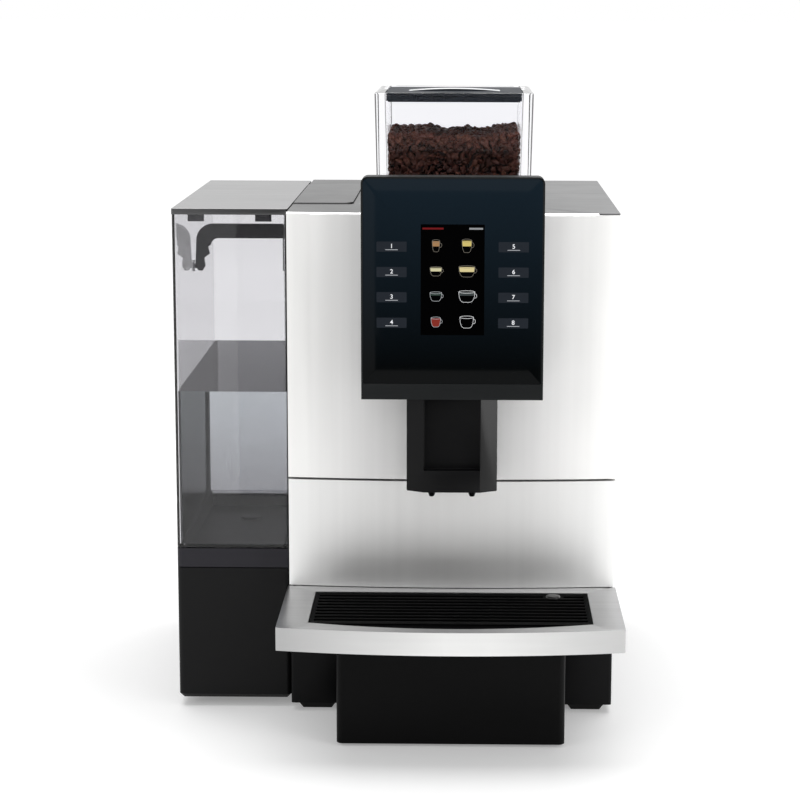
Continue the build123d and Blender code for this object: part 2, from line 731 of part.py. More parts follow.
# Brew unit frame: two side plates, a top plate and a motor plate
brew_front = return_depth + 2
brew_back = brew_y + 44
plate_half = brew_half_width - brew_plate
with BuildPart() as brew_frame:
    for side in (-1, 1):
        span = sorted((side * plate_half, side * brew_half_width))
        block(across(span[0]), (brew_front, plinth_top), (brew_back, brew_top), brew_plate)
        with BuildSketch(across(span[0])) as window:
            with Locations((brew_y + 8, 235)):
                RectangleRounded(50, 90, 8)
        extrude(window.sketch, amount=brew_plate, mode=Mode.SUBTRACT)
    block(level(brew_top - brew_plate), (-plate_half, brew_front), (plate_half, brew_back), brew_plate)
    block(level(brew_motor_top), (-plate_half, screw_y - 20), (plate_half, brew_back), brew_plate)
    disc(level(brew_top - brew_plate), (0, brew_y), chamber_radius, brew_plate, Mode.SUBTRACT)
    disc(level(brew_top - brew_plate), (0, screw_y), screw_radius + running_gap, brew_plate, Mode.SUBTRACT)
    disc(level(brew_motor_top), (0, screw_y), 10, brew_plate, Mode.SUBTRACT)
save(brew_frame.part, "brew_frame")

# Brewing chamber: tube hung from the top plate by its flange
with BuildPart() as brew_chamber:
    disc(level(chamber_bottom), (0, brew_y), chamber_radius, brew_top - chamber_bottom)
    disc(level(brew_top), (0, brew_y), chamber_radius + 4, 4 - seat_gap)
    disc(level(chamber_bottom), (0, brew_y), chamber_bore, brew_top - chamber_bottom + 4, Mode.SUBTRACT)
    disc(level(brew_top - 8), (0, screw_y), screw_radius + 2, 20, Mode.SUBTRACT)
save(brew_chamber.part, "brew_chamber")

# Brewing piston with its rod and the nut block that rides the screw
with BuildPart() as brew_piston:
    disc(level(piston_rest), (0, brew_y), chamber_bore - seat_gap, piston_height)
    disc(level(carriage_z), (0, brew_y), 5, piston_rest - carriage_z)
    block(level(carriage_z), (-14, brew_y - 10), (14, screw_y + 11), carriage_height)
    disc(level(carriage_z), (0, screw_y), screw_radius + running_gap, carriage_height, Mode.SUBTRACT)
save(brew_piston.part, "brew_piston")

# Lead screw, stepped down into the gearmotor's boss
stub_radius = 3.0
stub_length = 12.0
boss_top = brew_motor_top + 8.0
with BuildPart() as brew_screw:
    disc(level(boss_top + seat_gap), (0, screw_y), screw_radius, brew_top + 4 - boss_top)
    disc(level(boss_top - stub_length), (0, screw_y), stub_radius, stub_length + 2)
save(brew_screw.part, "brew_screw")

# Gearmotor under the motor plate
with BuildPart() as brew_motor:
    block(level(brew_motor_top - 50), (-26, screw_y - 18), (26, brew_back - 1), 50, radius=5)
    disc(level(brew_motor_top), (0, screw_y), 9, boss_top - brew_motor_top)
    disc(level(boss_top - stub_length - 2), (0, screw_y), stub_radius + running_gap, stub_length + 2,
         Mode.SUBTRACT)
save(brew_motor.part, "brew_motor")

# Coffee boiler on a skirt
base_z = plinth_top + frame_sheet
with BuildPart() as coffee_boiler:
    disc(level(base_z), (boiler_x, boiler_y), 30, boiler_bottom - base_z)
    disc(level(base_z), (boiler_x, boiler_y), 28, boiler_bottom - base_z - 3, Mode.SUBTRACT)
    disc(level(boiler_bottom), (boiler_x, boiler_y), boiler_radius, boiler_height)
    fillet(coffee_boiler.edges().group_by(Axis.Z)[-1], radius=12)
    disc(level(boiler_bottom + boiler_height), (boiler_x, boiler_y), 8, 10)
save(coffee_boiler.part, "coffee_boiler")

# Vibration pump on a rubber-footed bracket
pump_x = 4.0
pump_y = 275.0
pump_reach = 48.0
with BuildPart() as water_pump:
    block(level(base_z), (pump_x - 20, pump_y - 30), (pump_x + 20, pump_y + 30), 3)
    block(level(base_z + 3), (pump_x - 8, pump_y - 8), (pump_x + 8, pump_y + 8), 10)
    block(level(base_z + 13), (pump_x - 24, pump_y - 26), (pump_x + 24, pump_y + 26), 46, radius=4)
    with BuildSketch(facing(pump_y + pump_reach)) as barrel:
        with Locations((pump_x, base_z + 36)):
            Circle(11)
    extrude(barrel.sketch, amount=2 * pump_reach)
save(water_pump.part, "water_pump")

# Flow meter on the base plate
meter_x = 60.0
meter_y = 236.0
with BuildPart() as flow_meter:
    disc(level(base_z), (meter_x, meter_y), 18, 18)
    for side in (-1, 1):
        with BuildSketch(across(meter_x + 15 * side)) as nipple:
            with Locations((meter_y, base_z + 9)):
                Circle(3.5)
        extrude(nipple.sketch, amount=12 * side)
save(flow_meter.part, "flow_meter")

# Valve block with two solenoid coils, on the bulkhead
valve_back = bulkhead_y + frame_sheet
valve_z = 225.0
valve_height = 26.0
with BuildPart() as valve_block:
    block(level(valve_z), (-30, valve_back), (40, valve_back + 34), valve_height, radius=2)
    for x in (-12, 22):
        disc(level(valve_z + valve_height), (x, valve_back + 17), 13, 34)
        disc(level(valve_z + valve_height + 34), (x, valve_back + 17), 5, 6)
save(valve_block.part, "valve_block")

# Mains board on the right side plate, with its capacitors and transformer
board_x = plate_inner - 6
board_front = bulkhead_y + 19.5
board_back = body_depth - 26
board_low = inlet_z + 40
board_high = board_low + 140
with BuildPart() as power_board:
    block(across(board_x - board_thickness), (board_front, board_low), (board_back, board_high),
          board_thickness)
    for y in (board_front + 10, board_back - 10):
        for z in (board_low + 10, board_high - 10):
            with BuildSketch(across(board_x)) as post:
                with Locations((y, z)):
                    Circle(3)
            extrude(post.sketch, amount=6)
    block(across(board_x - board_thickness - 30), (board_front + 15, board_low + 15),
          (board_front + 55, board_low + 50), 30)
    for y, z in ((75, 25), (75, 50), (30, 110)):
        with BuildSketch(across(board_x - board_thickness - 22)) as capacitor:
            with Locations((board_front + y, board_low + z)):
                Circle(8)
        extrude(capacitor.sketch, amount=22)
save(power_board.part, "power_board")

# Mains inlet and switch housing: one moulding behind the back panel, with three contact blades
inlet_depth = 22.0
inlet_flange = 1.8
inner_face = body_depth - sheet
switch_wall = 2.0
switch_half = switch_width / 2
switch_rise = switch_height / 2
rocker_pivot_y = body_depth - 6.0
rocker_pin = 1.5
with BuildPart() as power_inlet:
    block(facing(inner_face), (switch_x - switch_half - 6, inlet_z - switch_rise - 6),
          (inlet_x + inlet_width / 2 + 6, inlet_z + switch_rise + 6), inlet_flange)
    block(facing(inner_face), (inlet_x - inlet_width / 2, inlet_z - inlet_height / 2),
          (inlet_x + inlet_width / 2, inlet_z + inlet_height / 2), inlet_depth)
    block(facing(body_depth + 0.6),
          (switch_x - switch_half - switch_wall, inlet_z - switch_rise - switch_wall),
          (switch_x + switch_half + switch_wall, inlet_z + switch_rise + switch_wall), inlet_depth)
    block(facing(inner_face), (inlet_x - inlet_width / 2 + 2, inlet_z - inlet_height / 2 + 2),
          (inlet_x + inlet_width / 2 - 2, inlet_z + inlet_height / 2 - 2), inlet_depth - 3, Mode.SUBTRACT)
    block(facing(body_depth + 1), (switch_x - switch_half, inlet_z - switch_rise),
          (switch_x + switch_half, inlet_z + switch_rise), 15, Mode.SUBTRACT)
    with BuildSketch(across(switch_x - switch_half - rocker_pin)) as pin_hole:
        with Locations((rocker_pivot_y, inlet_z)):
            Circle(rocker_pin + running_gap)
    extrude(pin_hole.sketch, amount=switch_width + 2 * rocker_pin, mode=Mode.SUBTRACT)
    for x, z in ((-7, -2), (0, 2), (7, -2)):
        block(facing(inner_face - 4), (inlet_x + x - 1, inlet_z + z - 2),
              (inlet_x + x + 1, inlet_z + z + 2), inlet_depth - 6)
save(power_inlet.part, "power_inlet")

# Rocker of the mains switch, drawn tipped to its off position
tilt = math.radians(switch_tilt)
rocker_half = switch_half - seat_gap
rocker_rise = switch_rise - 1.4
rocker_plane = Plane(origin=(body_x + switch_x - rocker_half, front_y + rocker_pivot_y, inlet_z),
                     x_dir=(0, math.cos(tilt), math.sin(tilt)), z_dir=(1, 0, 0))
with BuildPart() as power_rocker:
    with BuildSketch(rocker_plane) as rocker:
        with BuildLine():
            ThreePointArc((5, -rocker_rise + 0.4), (4, 0), (5, rocker_rise - 0.4))
            Polyline((5, rocker_rise - 0.4), (3, rocker_rise), (-3, 4), (-3, -4),
                     (3, -rocker_rise), (5, -rocker_rise + 0.4))
        make_face()
    extrude(rocker.sketch, amount=2 * rocker_half)
    with BuildSketch(rocker_plane.offset(-rocker_pin)) as pin:
        Circle(rocker_pin)
    extrude(pin.sketch, amount=2 * (rocker_half + rocker_pin))
save(power_rocker.part, "power_rocker")

# Fan frame behind the back panel, and its rotor
fan_back = body_depth - sheet
with BuildPart() as fan_frame:
    block(facing(fan_back), (fan_x - fan_size / 2, fan_z - fan_size / 2),
          (fan_x + fan_size / 2, fan_z + fan_size / 2), fan_depth, radius=5)
    disc(facing(fan_back), (fan_x, fan_z), fan_rotor_radius + 1.2, fan_depth, Mode.SUBTRACT)
    disc(facing(fan_back - fan_depth + 2), (fan_x, fan_z), fan_hub_radius, 2)
    for turn in range(4):
        with BuildSketch(facing(fan_back - fan_depth + 2)) as strut:
            with Locations(Location((fan_x, fan_z), turn * 90 + 45)):
                with Locations((fan_rotor_radius / 2 + 6, 0)):
                    Rectangle(fan_rotor_radius - 2, 4)
        extrude(strut.sketch, amount=2)
    disc(facing(fan_back - fan_depth + 12), (fan_x, fan_z), 2.5, 10)
save(fan_frame.part, "fan_frame")

rotor_y = fan_back - 3
rotor_depth = fan_depth - 8
with BuildPart() as fan_rotor:
    disc(facing(rotor_y), (fan_x, fan_z), fan_hub_radius, rotor_depth)
    for turn in range(fan_blades):
        with BuildSketch(facing(rotor_y - rotor_depth / 2)) as blade:
            with Locations(Location((fan_x, fan_z), turn * 360 / fan_blades)):
                with Locations(((fan_rotor_radius + fan_hub_radius) / 2 - 1, 0)):
                    Rectangle(fan_rotor_radius - fan_hub_radius + 1, 14)
        extrude(blade.sketch, amount=1.6)
    disc(facing(rotor_y - 4), (fan_x, fan_z), 2.5 + running_gap, rotor_depth, Mode.SUBTRACT)
save(fan_rotor.part, "fan_rotor")

# Screen housing: moulded box on the door, open for the glass in front and for the coffee outlet below
screen_half = screen_width / 2
glass_half = screen_half - bezel
glass_bottom = screen_bottom + bezel_bottom + 0.3
glass_top = screen_top - bezel
glass_back = screen_front - glass_thickness
screen_step = body_top - 4
spout_half = spout_width / 2
spout_room = 0.8
with BuildPart() as screen_housing:
    with BuildSketch(facing(-screen_front + screen_top_depth)) as face_outline:
        with Locations((0, (screen_bottom + screen_top) / 2)):
            Rectangle(screen_width, screen_top - screen_bottom)
        upper_corners = face_outline.vertices().group_by(Axis.Y)[-1]
        fillet(upper_corners, radius=screen_corner)
    extrude(face_outline.sketch, amount=screen_top_depth)
    block(level(screen_bottom), (-screen_half, -screen_front + screen_top_depth), (screen_half, 0),
          screen_step - screen_bottom)
    bowed(level(screen_bottom), half, 0, bulge, 2 * sheet, screen_step - screen_bottom, Mode.SUBTRACT)
    inner_half = screen_half - screen_wall
    block(level(screen_bottom + screen_wall), (-inner_half, -glass_back), (inner_half, 0),
          screen_step - screen_bottom - 2 * screen_wall, Mode.SUBTRACT)
    block(level(screen_bottom + screen_wall), (-inner_half, -glass_back),
          (inner_half, -screen_front + screen_top_depth - screen_wall),
          screen_top - screen_bottom - 2 * screen_wall, Mode.SUBTRACT)
    block(facing(-glass_back), (-glass_half, glass_bottom - seat_gap / 2), (glass_half, glass_top),
          glass_thickness, Mode.SUBTRACT)
    block(level(screen_bottom), (-spout_half - spout_room, -spout_front - spout_room),
          (spout_half + spout_room, 0), screen_wall, Mode.SUBTRACT)
save(screen_housing.part, "screen_housing")

# Screen glass
with BuildPart() as screen_glass:
    with BuildSketch(facing(-glass_back)) as glass_outline:
        with Locations((0, (glass_bottom + glass_top) / 2)):
            Rectangle(2 * glass_half, glass_top - glass_bottom)
        upper_corners = glass_outline.vertices().group_by(Axis.Y)[-1]
        fillet(upper_corners, radius=screen_corner - bezel)
    extrude(glass_outline.sketch, amount=glass_thickness - 0.1)
save(screen_glass.part, "screen_glass")

# Display behind the glass
with BuildPart() as display_module:
    block(facing(-glass_back + display_thickness),
          (-display_width / 2, display_middle - display_height / 2),
          (display_width / 2, display_middle + display_height / 2), display_thickness)
save(display_module.part, "display_module")

# Control board behind the display, on four posts, with its chips and connector
control_y = -glass_back + 9
control_half = 60.0
control_low = display_middle - 41
control_high = control_low + 2 * control_half
with BuildPart() as control_board:
    block(facing(control_y), (-control_half, control_low), (control_half, control_high), board_thickness)
    for x in (-control_half + 6, control_half - 6):
        for z in (control_low + 6, control_high - 6):
            with BuildSketch(facing(control_y - board_thickness)) as post:
                with Locations((x, z)):
                    Circle(3)
            extrude(post.sketch, amount=glass_back + control_y - board_thickness)
    for x, rise, wide, high, tall in ((0, 50, 18, 18, 2), (-34, 60, 12, 12, 1.5), (30, 30, 40, 8, 4)):
        middle = control_low + rise
        block(facing(control_y + tall), (x - wide / 2, middle - high / 2), (x + wide / 2, middle + high / 2),
              tall)
save(control_board.part, "control_board")

# Guide rail for the coffee outlet, fixed to the door
rail_low = spout_bottom + 44
slide_y = -spout_back
with BuildPart() as spout_guide:
    block(level(rail_low), (-rail_width, slide_y + 4), (rail_width, 0), rail_length)
    block(level(rail_low), (-rail_neck / 2, slide_y - spout_wall - seat_gap), (rail_neck / 2, slide_y + 4),
          rail_length)
    block(level(rail_low), (-rail_width / 2, slide_y - spout_wall - seat_gap - rail_lip),
          (rail_width / 2, slide_y - spout_wall - seat_gap), rail_length)
    bowed(level(rail_low), half, 0, bulge, 2 * sheet, rail_length, Mode.SUBTRACT)
save(spout_guide.part, "spout_guide")

# Coffee outlet body: hollow, with chamfered front corners, a grip ledge and a slot for the rail
face_half = spout_face / 2
spout_inner = spout_half - spout_wall
grip_y = -spout_front + grip_depth
with BuildPart() as spout_body:
    with BuildSketch(level(spout_bottom)) as plan:
        with BuildLine():
            Polyline((-spout_half, -spout_back), (-spout_half, -spout_front + spout_shoulder),
                     (-face_half, -spout_front), (face_half, -spout_front),
                     (spout_half, -spout_front + spout_shoulder), (spout_half, -spout_back), close=True)
        make_face()
    extrude(plan.sketch, amount=spout_height)
    fillet(spout_body.edges().group_by(Axis.Z)[0], radius=1.2)
    block(level(spout_bottom + grip_height), (-face_half, -spout_front), (face_half, grip_y),
          spout_height, Mode.SUBTRACT)
    block(level(spout_bottom + spout_wall), (-spout_inner, grip_y + spout_wall),
          (spout_inner, -spout_back - spout_wall), spout_height, Mode.SUBTRACT)
    block(level(spout_bottom + spout_wall), (-face_half + spout_wall, -spout_front + spout_wall),
          (face_half - spout_wall, grip_y + spout_wall), grip_height - 2 * spout_wall, Mode.SUBTRACT)
    block(level(spout_bottom + 6), (-rail_neck / 2 - seat_gap, -spout_back - spout_wall),
          (rail_neck / 2 + seat_gap, -spout_back), spout_height, Mode.SUBTRACT)
    with BuildSketch(level(spout_bottom)) as nozzle_holes:
        with Locations((-nozzle_spacing / 2, -nozzle_y), (nozzle_spacing / 2, -nozzle_y)):
            Circle(nozzle_radius)
    extrude(nozzle_holes.sketch, amount=spout_wall, mode=Mode.SUBTRACT)
save(spout_body.part, "spout_body")

# Two coffee nozzles, flanged inside the outlet body
nozzle_flange = 2.0
with BuildPart() as coffee_nozzles:
    for x in (-nozzle_spacing / 2, nozzle_spacing / 2):
        disc(level(spout_bottom + spout_wall), (x, -nozzle_y), nozzle_radius + 0.8, nozzle_flange)
        disc(level(spout_bottom), (x, -nozzle_y), nozzle_radius, spout_wall)
        with BuildSketch(level(spout_bottom)) as root:
            with Locations((x, -nozzle_y)):
                Circle(nozzle_radius)
        with BuildSketch(level(spout_bottom - nozzle_drop)) as tip:
            with Locations((x, -nozzle_y)):
                Circle(nozzle_tip)
        loft(Sketch() + [root.sketch.face(), tip.sketch.face()])
        disc(level(spout_bottom - nozzle_drop), (x, -nozzle_y), nozzle_bore,
             nozzle_drop + spout_wall + nozzle_flange, Mode.SUBTRACT)
save(coffee_nozzles.part, "coffee_nozzles")

# Drip tray frame: bowed steel top with a tongue under the front panel, fascia and side faces
tray_half = tray_width / 2
tray_back = seat_gap + 0.1
fascia_bottom = tray_top - fascia_height
opening_half = grille_width / 2
with BuildPart() as tray_frame:
    bowed(level(fascia_bottom), tray_half, -tray_reach, tray_bulge, -tray_back, fascia_height)
    bowed(level(fascia_bottom), tray_half - tray_sheet, -tray_reach + tray_sheet, tray_bulge, 0,
          fascia_height - tray_sheet, Mode.SUBTRACT)
    block(level(tray_top - tray_sheet), (-half + 4, -tray_back), (half - 4, tray_tongue), tray_sheet)
    bowed(level(tray_top - tray_sheet), opening_half, -grille_front, grille_bulge, -grille_back,
          tray_sheet, Mode.SUBTRACT)
    fillet(tray_frame.edges().filter_by(Axis.Z).group_by(Axis.Y)[0], radius=0.8)
save(tray_frame.part, "tray_frame")

# Drip basin: moulded trough under the opening, corner seats for the grille, and two runner arms
basin_bottom = plinth_top + seat_gap
basin_top = tray_top - tray_sheet
basin_half = opening_half + basin_margin
grille_top = tray_top - grille_drop
grille_bottom = grille_top - grille_thickness
seat_xs = (-opening_half + 8, opening_half - 8)
seat_ys = (-grille_back - 8, -grille_front + 8)
with BuildPart() as drip_basin:
    bowed(level(basin_bottom), basin_half, -grille_front - basin_margin, grille_bulge,
          -grille_back + basin_margin, basin_top - basin_bottom)
    bowed(level(basin_bottom + basin_wall), basin_half - basin_wall,
          -grille_front - basin_margin + basin_wall, grille_bulge,
          -grille_back + basin_margin - basin_wall, basin_top - basin_bottom, Mode.SUBTRACT)
    for side in (-1, 1):
        arm = sorted((side * runner_inner, side * runner_outer))
        block(level(basin_bottom), (arm[0], -grille_back + basin_margin), (arm[1], runner_length),
              runner_height)
        block(level(basin_bottom + basin_wall), (arm[0] + basin_wall, -grille_back + basin_margin),
              (arm[1] - basin_wall, runner_length - basin_wall), runner_height, Mode.SUBTRACT)
    for x in seat_xs:
        for y in seat_ys:
            disc(level(basin_bottom), (x, y), 4, grille_bottom - basin_bottom)
    disc(level(basin_bottom + basin_wall), (float_x, -float_y), 4, 8)
save(drip_basin.part, "drip_basin")

# Drip grille: straight slats in a rim, ribs below, a hole for the float, a bowed lip in front
grille_half = opening_half - seat_gap
lip_drop = 1.0
with BuildPart() as drip_grille:
    bowed(level(grille_bottom), grille_half, -grille_front + seat_gap, grille_bulge,
          -grille_back - seat_gap, grille_thickness)
    bowed(level(grille_top - lip_drop), grille_half, -grille_front + seat_gap, grille_bulge,
          -grille_front + seat_gap, lip_drop, Mode.SUBTRACT)
    slot_count = int((grille_front - grille_back - 2 * grille_rim) // slat_pitch)
    slot_middle = -(grille_front + grille_back) / 2
    with BuildSketch(level(grille_bottom)) as slots:
        for row in range(slot_count):
            with Locations((0, slot_middle + (row - (slot_count - 1) / 2) * slat_pitch)):
                Rectangle(2 * (grille_half - grille_rim), slat_pitch - slat_width)
        with Locations((float_x, -float_y)):
            Circle(float_radius + 2.5, mode=Mode.SUBTRACT)
    extrude(slots.sketch, amount=grille_thickness, mode=Mode.SUBTRACT)
    for x in (-84, -42, 0, 42, 84):
        block(level(grille_bottom - 3), (x - 1, -grille_front + 10), (x + 1, -grille_back - 12), 3)
    disc(level(grille_bottom), (float_x, -float_y), float_radius + seat_gap, grille_thickness, Mode.SUBTRACT)
save(drip_grille.part, "drip_grille")

# Tray-full float: domed button with a hollow stem over the basin's pin
float_low = basin_bottom + basin_wall + 0.4
with BuildPart() as tray_float:
    disc(level(float_low), (float_x, -float_y), float_radius, float_height)
    fillet(tray_float.edges().group_by(Axis.Z)[-1], radius=2.5)
    disc(level(float_low), (float_x, -float_y), 4 + seat_gap, float_height - 4, Mode.SUBTRACT)
save(tray_float.part, "tray_float")

# Grounds bin: open drawer whose side rims ride in the plinth's grooves
bin_half = bin_width / 2
bin_top = fascia_bottom - 1.6
bin_rear_top = rim_z + bin_rim_thickness
with BuildPart() as grounds_bin:
    block(level(bin_bottom), (-bin_half, -bin_front), (bin_half, bin_back), bin_rear_top - bin_bottom,
          radius=bin_corner)
    block(level(bin_rear_top), (-bin_half, -bin_front), (bin_half, plinth_setback - 2),
          bin_top - bin_rear_top, radius=bin_corner)
    block(level(bin_bottom + bin_wall), (-bin_half + bin_wall, -bin_front + bin_wall),
          (bin_half - bin_wall, bin_back - bin_wall), plinth_top, Mode.SUBTRACT, radius=bin_corner - bin_wall)
    for side in (-1, 1):
        rim = sorted((side * (bin_half - bin_wall), side * (bin_half + bin_rim)))
        block(level(rim_z), (rim[0], plinth_setback + 4), (rim[1], bin_back - bin_corner), bin_rim_thickness)
save(grounds_bin.part, "grounds_bin")

# Bean hopper: thick-walled clear box, tapering down to a funnel and a round spigot with a shutter slot
hopper_half = hopper_width / 2
hopper_back = hopper_front + hopper_depth
hopper_height = hopper_top - body_top
pocket_half = hopper_half - hopper_side_wall
hopper_floor_z = body_top + seat_gap
neck_half = hopper_hole_half - 1.5
neck_front = hopper_hole_front + 1.5
neck_back = hopper_hole_back - 1.5
with BuildPart() as bean_hopper:
    block(level(hopper_top), (-hopper_half, hopper_front), (hopper_half, hopper_back),
          -(hopper_height - seat_gap), radius=hopper_corner, taper=hopper_draft)
    fillet(bean_hopper.edges().group_by(Axis.Z)[-1], radius=1.5)
    with BuildSketch(level(hopper_floor_z)) as neck_top:
        with Locations((0, hopper_mid)):
            RectangleRounded(2 * neck_half, neck_back - neck_front, hopper_corner)
    with BuildSketch(level(funnel_bottom)) as neck_low:
        with Locations((0, grinder_y)):
            RectangleRounded(2 * spigot_radius + 12, 2 * spigot_radius + 12, hopper_corner)
    loft(Sketch() + [neck_top.sketch.face(), neck_low.sketch.face()])
    disc(level(spigot_bottom), (0, grinder_y), spigot_radius, funnel_bottom - spigot_bottom)
    for side in (-1, 1):
        rail = sorted((side * (shutter_width / 2 - 2), side * (shutter_width / 2 + 3)))
        block(level(shutter_z - 3), (rail[0], grinder_y + 14), (rail[1], grinder_y + 62), 15)
    block(level(hopper_top), (-pocket_half, hopper_front + hopper_wall),
          (pocket_half, hopper_back - hopper_wall), -(hopper_height - hopper_floor), Mode.SUBTRACT,
          radius=hopper_corner - hopper_wall, taper=hopper_draft)
    with BuildSketch(level(body_top + hopper_floor)) as pocket_top:
        with Locations((0, hopper_mid)):
            RectangleRounded(2 * neck_half - 2 * hopper_wall, neck_back - neck_front - 2 * hopper_wall,
                             hopper_corner - hopper_wall)
    with BuildSketch(level(funnel_bottom + 2)) as pocket_low:
        with Locations((0, grinder_y)):
            Circle(spigot_bore)
    loft(Sketch() + [pocket_top.sketch.face(), pocket_low.sketch.face()], mode=Mode.SUBTRACT)
    disc(level(spigot_bottom), (0, grinder_y), spigot_bore, funnel_bottom - spigot_bottom + 4, Mode.SUBTRACT)
    block(level(shutter_z - seat_gap), (-shutter_width / 2 - seat_gap, grinder_y - spigot_bore - 1),
          (shutter_width / 2 + seat_gap, grinder_y + 62), shutter_thickness + 2 * seat_gap, Mode.SUBTRACT)
save(bean_hopper.part, "bean_hopper")

# Coffee beans, as one heap that fills the hopper
bean_gap = 0.2
with BuildPart() as coffee_beans:
    bean_half = pocket_half - 1.5
    block(level(body_top + hopper_floor + bean_gap), (-bean_half + 1, hopper_front + hopper_wall + 3.5),
          (bean_half - 1, hopper_back - hopper_wall - 3.5), bean_level - body_top - hopper_floor,
          radius=3)
    with BuildSketch(level(body_top + hopper_floor + bean_gap)) as heap_top:
        with Locations((0, hopper_mid)):
            RectangleRounded(2 * neck_half - 2 * hopper_wall - 1,
                             neck_back - neck_front - 2 * hopper_wall - 1, 5)
    with BuildSketch(level(funnel_bottom + 2)) as heap_low:
        with Locations((0, grinder_y)):
            Circle(spigot_bore - 0.5)
    loft(Sketch() + [heap_top.sketch.face(), heap_low.sketch.face()])
save(coffee_beans.part, "coffee_beans")

# Hopper shutter: plate that slides forwards across the spigot, with a pull tab at the back
shutter_park = grinder_y + spigot_bore + 2
with BuildPart() as hopper_shutter:
    block(level(shutter_z), (-shutter_width / 2, shutter_park), (shutter_width / 2, shutter_park + 40),
          shutter_thickness)
    block(level(shutter_z), (-8, shutter_park + 38), (8, shutter_park + 42), 9)
save(hopper_shutter.part, "hopper_shutter")

# Hopper lid: flat plate with a skirt and a low arched grip
lid_half = pocket_half - seat_gap - 0.2
lid_front = hopper_front + hopper_wall + 0.5
lid_back = hopper_back - hopper_wall - 0.5
lid_low = hopper_top - lid_skirt
lid_top = hopper_top - 1
with BuildPart() as hopper_lid:
    block(level(lid_top - lid_thickness), (-lid_half, lid_front), (lid_half, lid_back), lid_thickness,
          radius=6)
    block(level(lid_low), (-lid_half + 2, lid_front + 2), (lid_half - 2, lid_back - 2), lid_skirt - 1,
          radius=4)
    block(level(lid_low), (-lid_half + 4, lid_front + 4), (lid_half - 4, lid_back - 4),
          lid_skirt - 1 - lid_thickness, Mode.SUBTRACT, radius=3)
    with BuildSketch(facing(hopper_mid + lid_arch_depth / 2)) as arch:
        with BuildLine():
            ThreePointArc((-lid_arch_width / 2, lid_top - 0.5), (0, overall_height),
                          (lid_arch_width / 2, lid_top - 0.5))
            Line((lid_arch_width / 2, lid_top - 0.5), (-lid_arch_width / 2, lid_top - 0.5))
        make_face()
    extrude(arch.sketch, amount=lid_arch_depth)
save(hopper_lid.part, "hopper_lid")

# Gasket round the lid's skirt
gasket_low = lid_low + 1
gasket_height = lid_skirt - lid_thickness - 2.5
with BuildPart() as hopper_gasket:
    block(level(gasket_low), (-lid_half + 0.4, lid_front + 0.4), (lid_half - 0.4, lid_back - 0.4),
          gasket_height, radius=4.5)
    block(level(gasket_low), (-lid_half + 2, lid_front + 2), (lid_half - 2, lid_back - 2), gasket_height,
          Mode.SUBTRACT, radius=4)
save(hopper_gasket.part, "hopper_gasket")

# Tank base: hollow moulded box with a chamfered foot and four pad posts
socket_radius = 14.0
socket_low = tank_base_top - 24
hose_y = valve_y
hose_hole = hose_radius + seat_gap
with BuildPart() as tank_base:
    block(level(foot_height), (tank_left, tank_front), (tank_right, tank_back), tank_base_top - foot_height,
          radius=tank_corner)
    lower_edges = tank_base.edges().group_by(Axis.Z)[0]
    chamfer(lower_edges, length=base_chamfer)
    block(level(foot_height), (tank_left + base_wall + base_chamfer, tank_front + base_wall + base_chamfer),
          (tank_right - base_wall - base_chamfer, tank_back - base_wall - base_chamfer),
          tank_base_top - foot_height - base_wall, Mode.SUBTRACT, radius=2)
    for x in pad_xs:
        for y in pad_ys:
            disc(level(foot_height), (x, y), pad_radius, tank_base_top - foot_height - base_wall,
                 bore=pad_radius - base_wall)
            disc(level(foot_height), (x, y), pad_radius, base_wall)
    disc(level(tank_base_top - base_wall), (tank_mid, valve_y), socket_radius, base_wall, Mode.SUBTRACT)
    disc(across(tank_right - base_wall - base_chamfer), (hose_y, hose_z), hose_hole,
         base_wall + base_chamfer, Mode.SUBTRACT)
save(tank_base.part, "tank_base")

# Tank cradle: dark band that the tank stands in, with its floor and the valve's socket and opening pin
cradle_wall = tank_inset - seat_gap
cradle_low = tank_base_top + tank_seam
socket_floor = 3.0
opener_radius = 2.0
with BuildPart() as tank_cradle:
    block(level(tank_base_top), (tank_left + 2, tank_front + 2), (tank_right - 2, tank_back - 2),
          tank_seam, radius=tank_corner - 2)
    block(level(cradle_low), (tank_left, tank_front), (tank_right, tank_back), cradle_top - cradle_low,
          radius=tank_corner)
    block(level(tank_floor_z - seat_gap), (tank_left + cradle_wall, tank_front + cradle_wall),
          (tank_right - cradle_wall, tank_back - cradle_wall), cradle_top, Mode.SUBTRACT, radius=2)
    disc(level(socket_low), (tank_mid, valve_y), socket_radius, tank_base_top - socket_low)
    disc(level(socket_low + socket_floor), (tank_mid, valve_y), valve_radius + seat_gap, 40, Mode.SUBTRACT)
    disc(level(socket_low + socket_floor), (tank_mid, valve_y), opener_radius, 12)
    disc(across(tank_mid + valve_radius - 2), (hose_y, hose_z), hose_bore, 8, Mode.SUBTRACT)
save(tank_cradle.part, "tank_cradle")

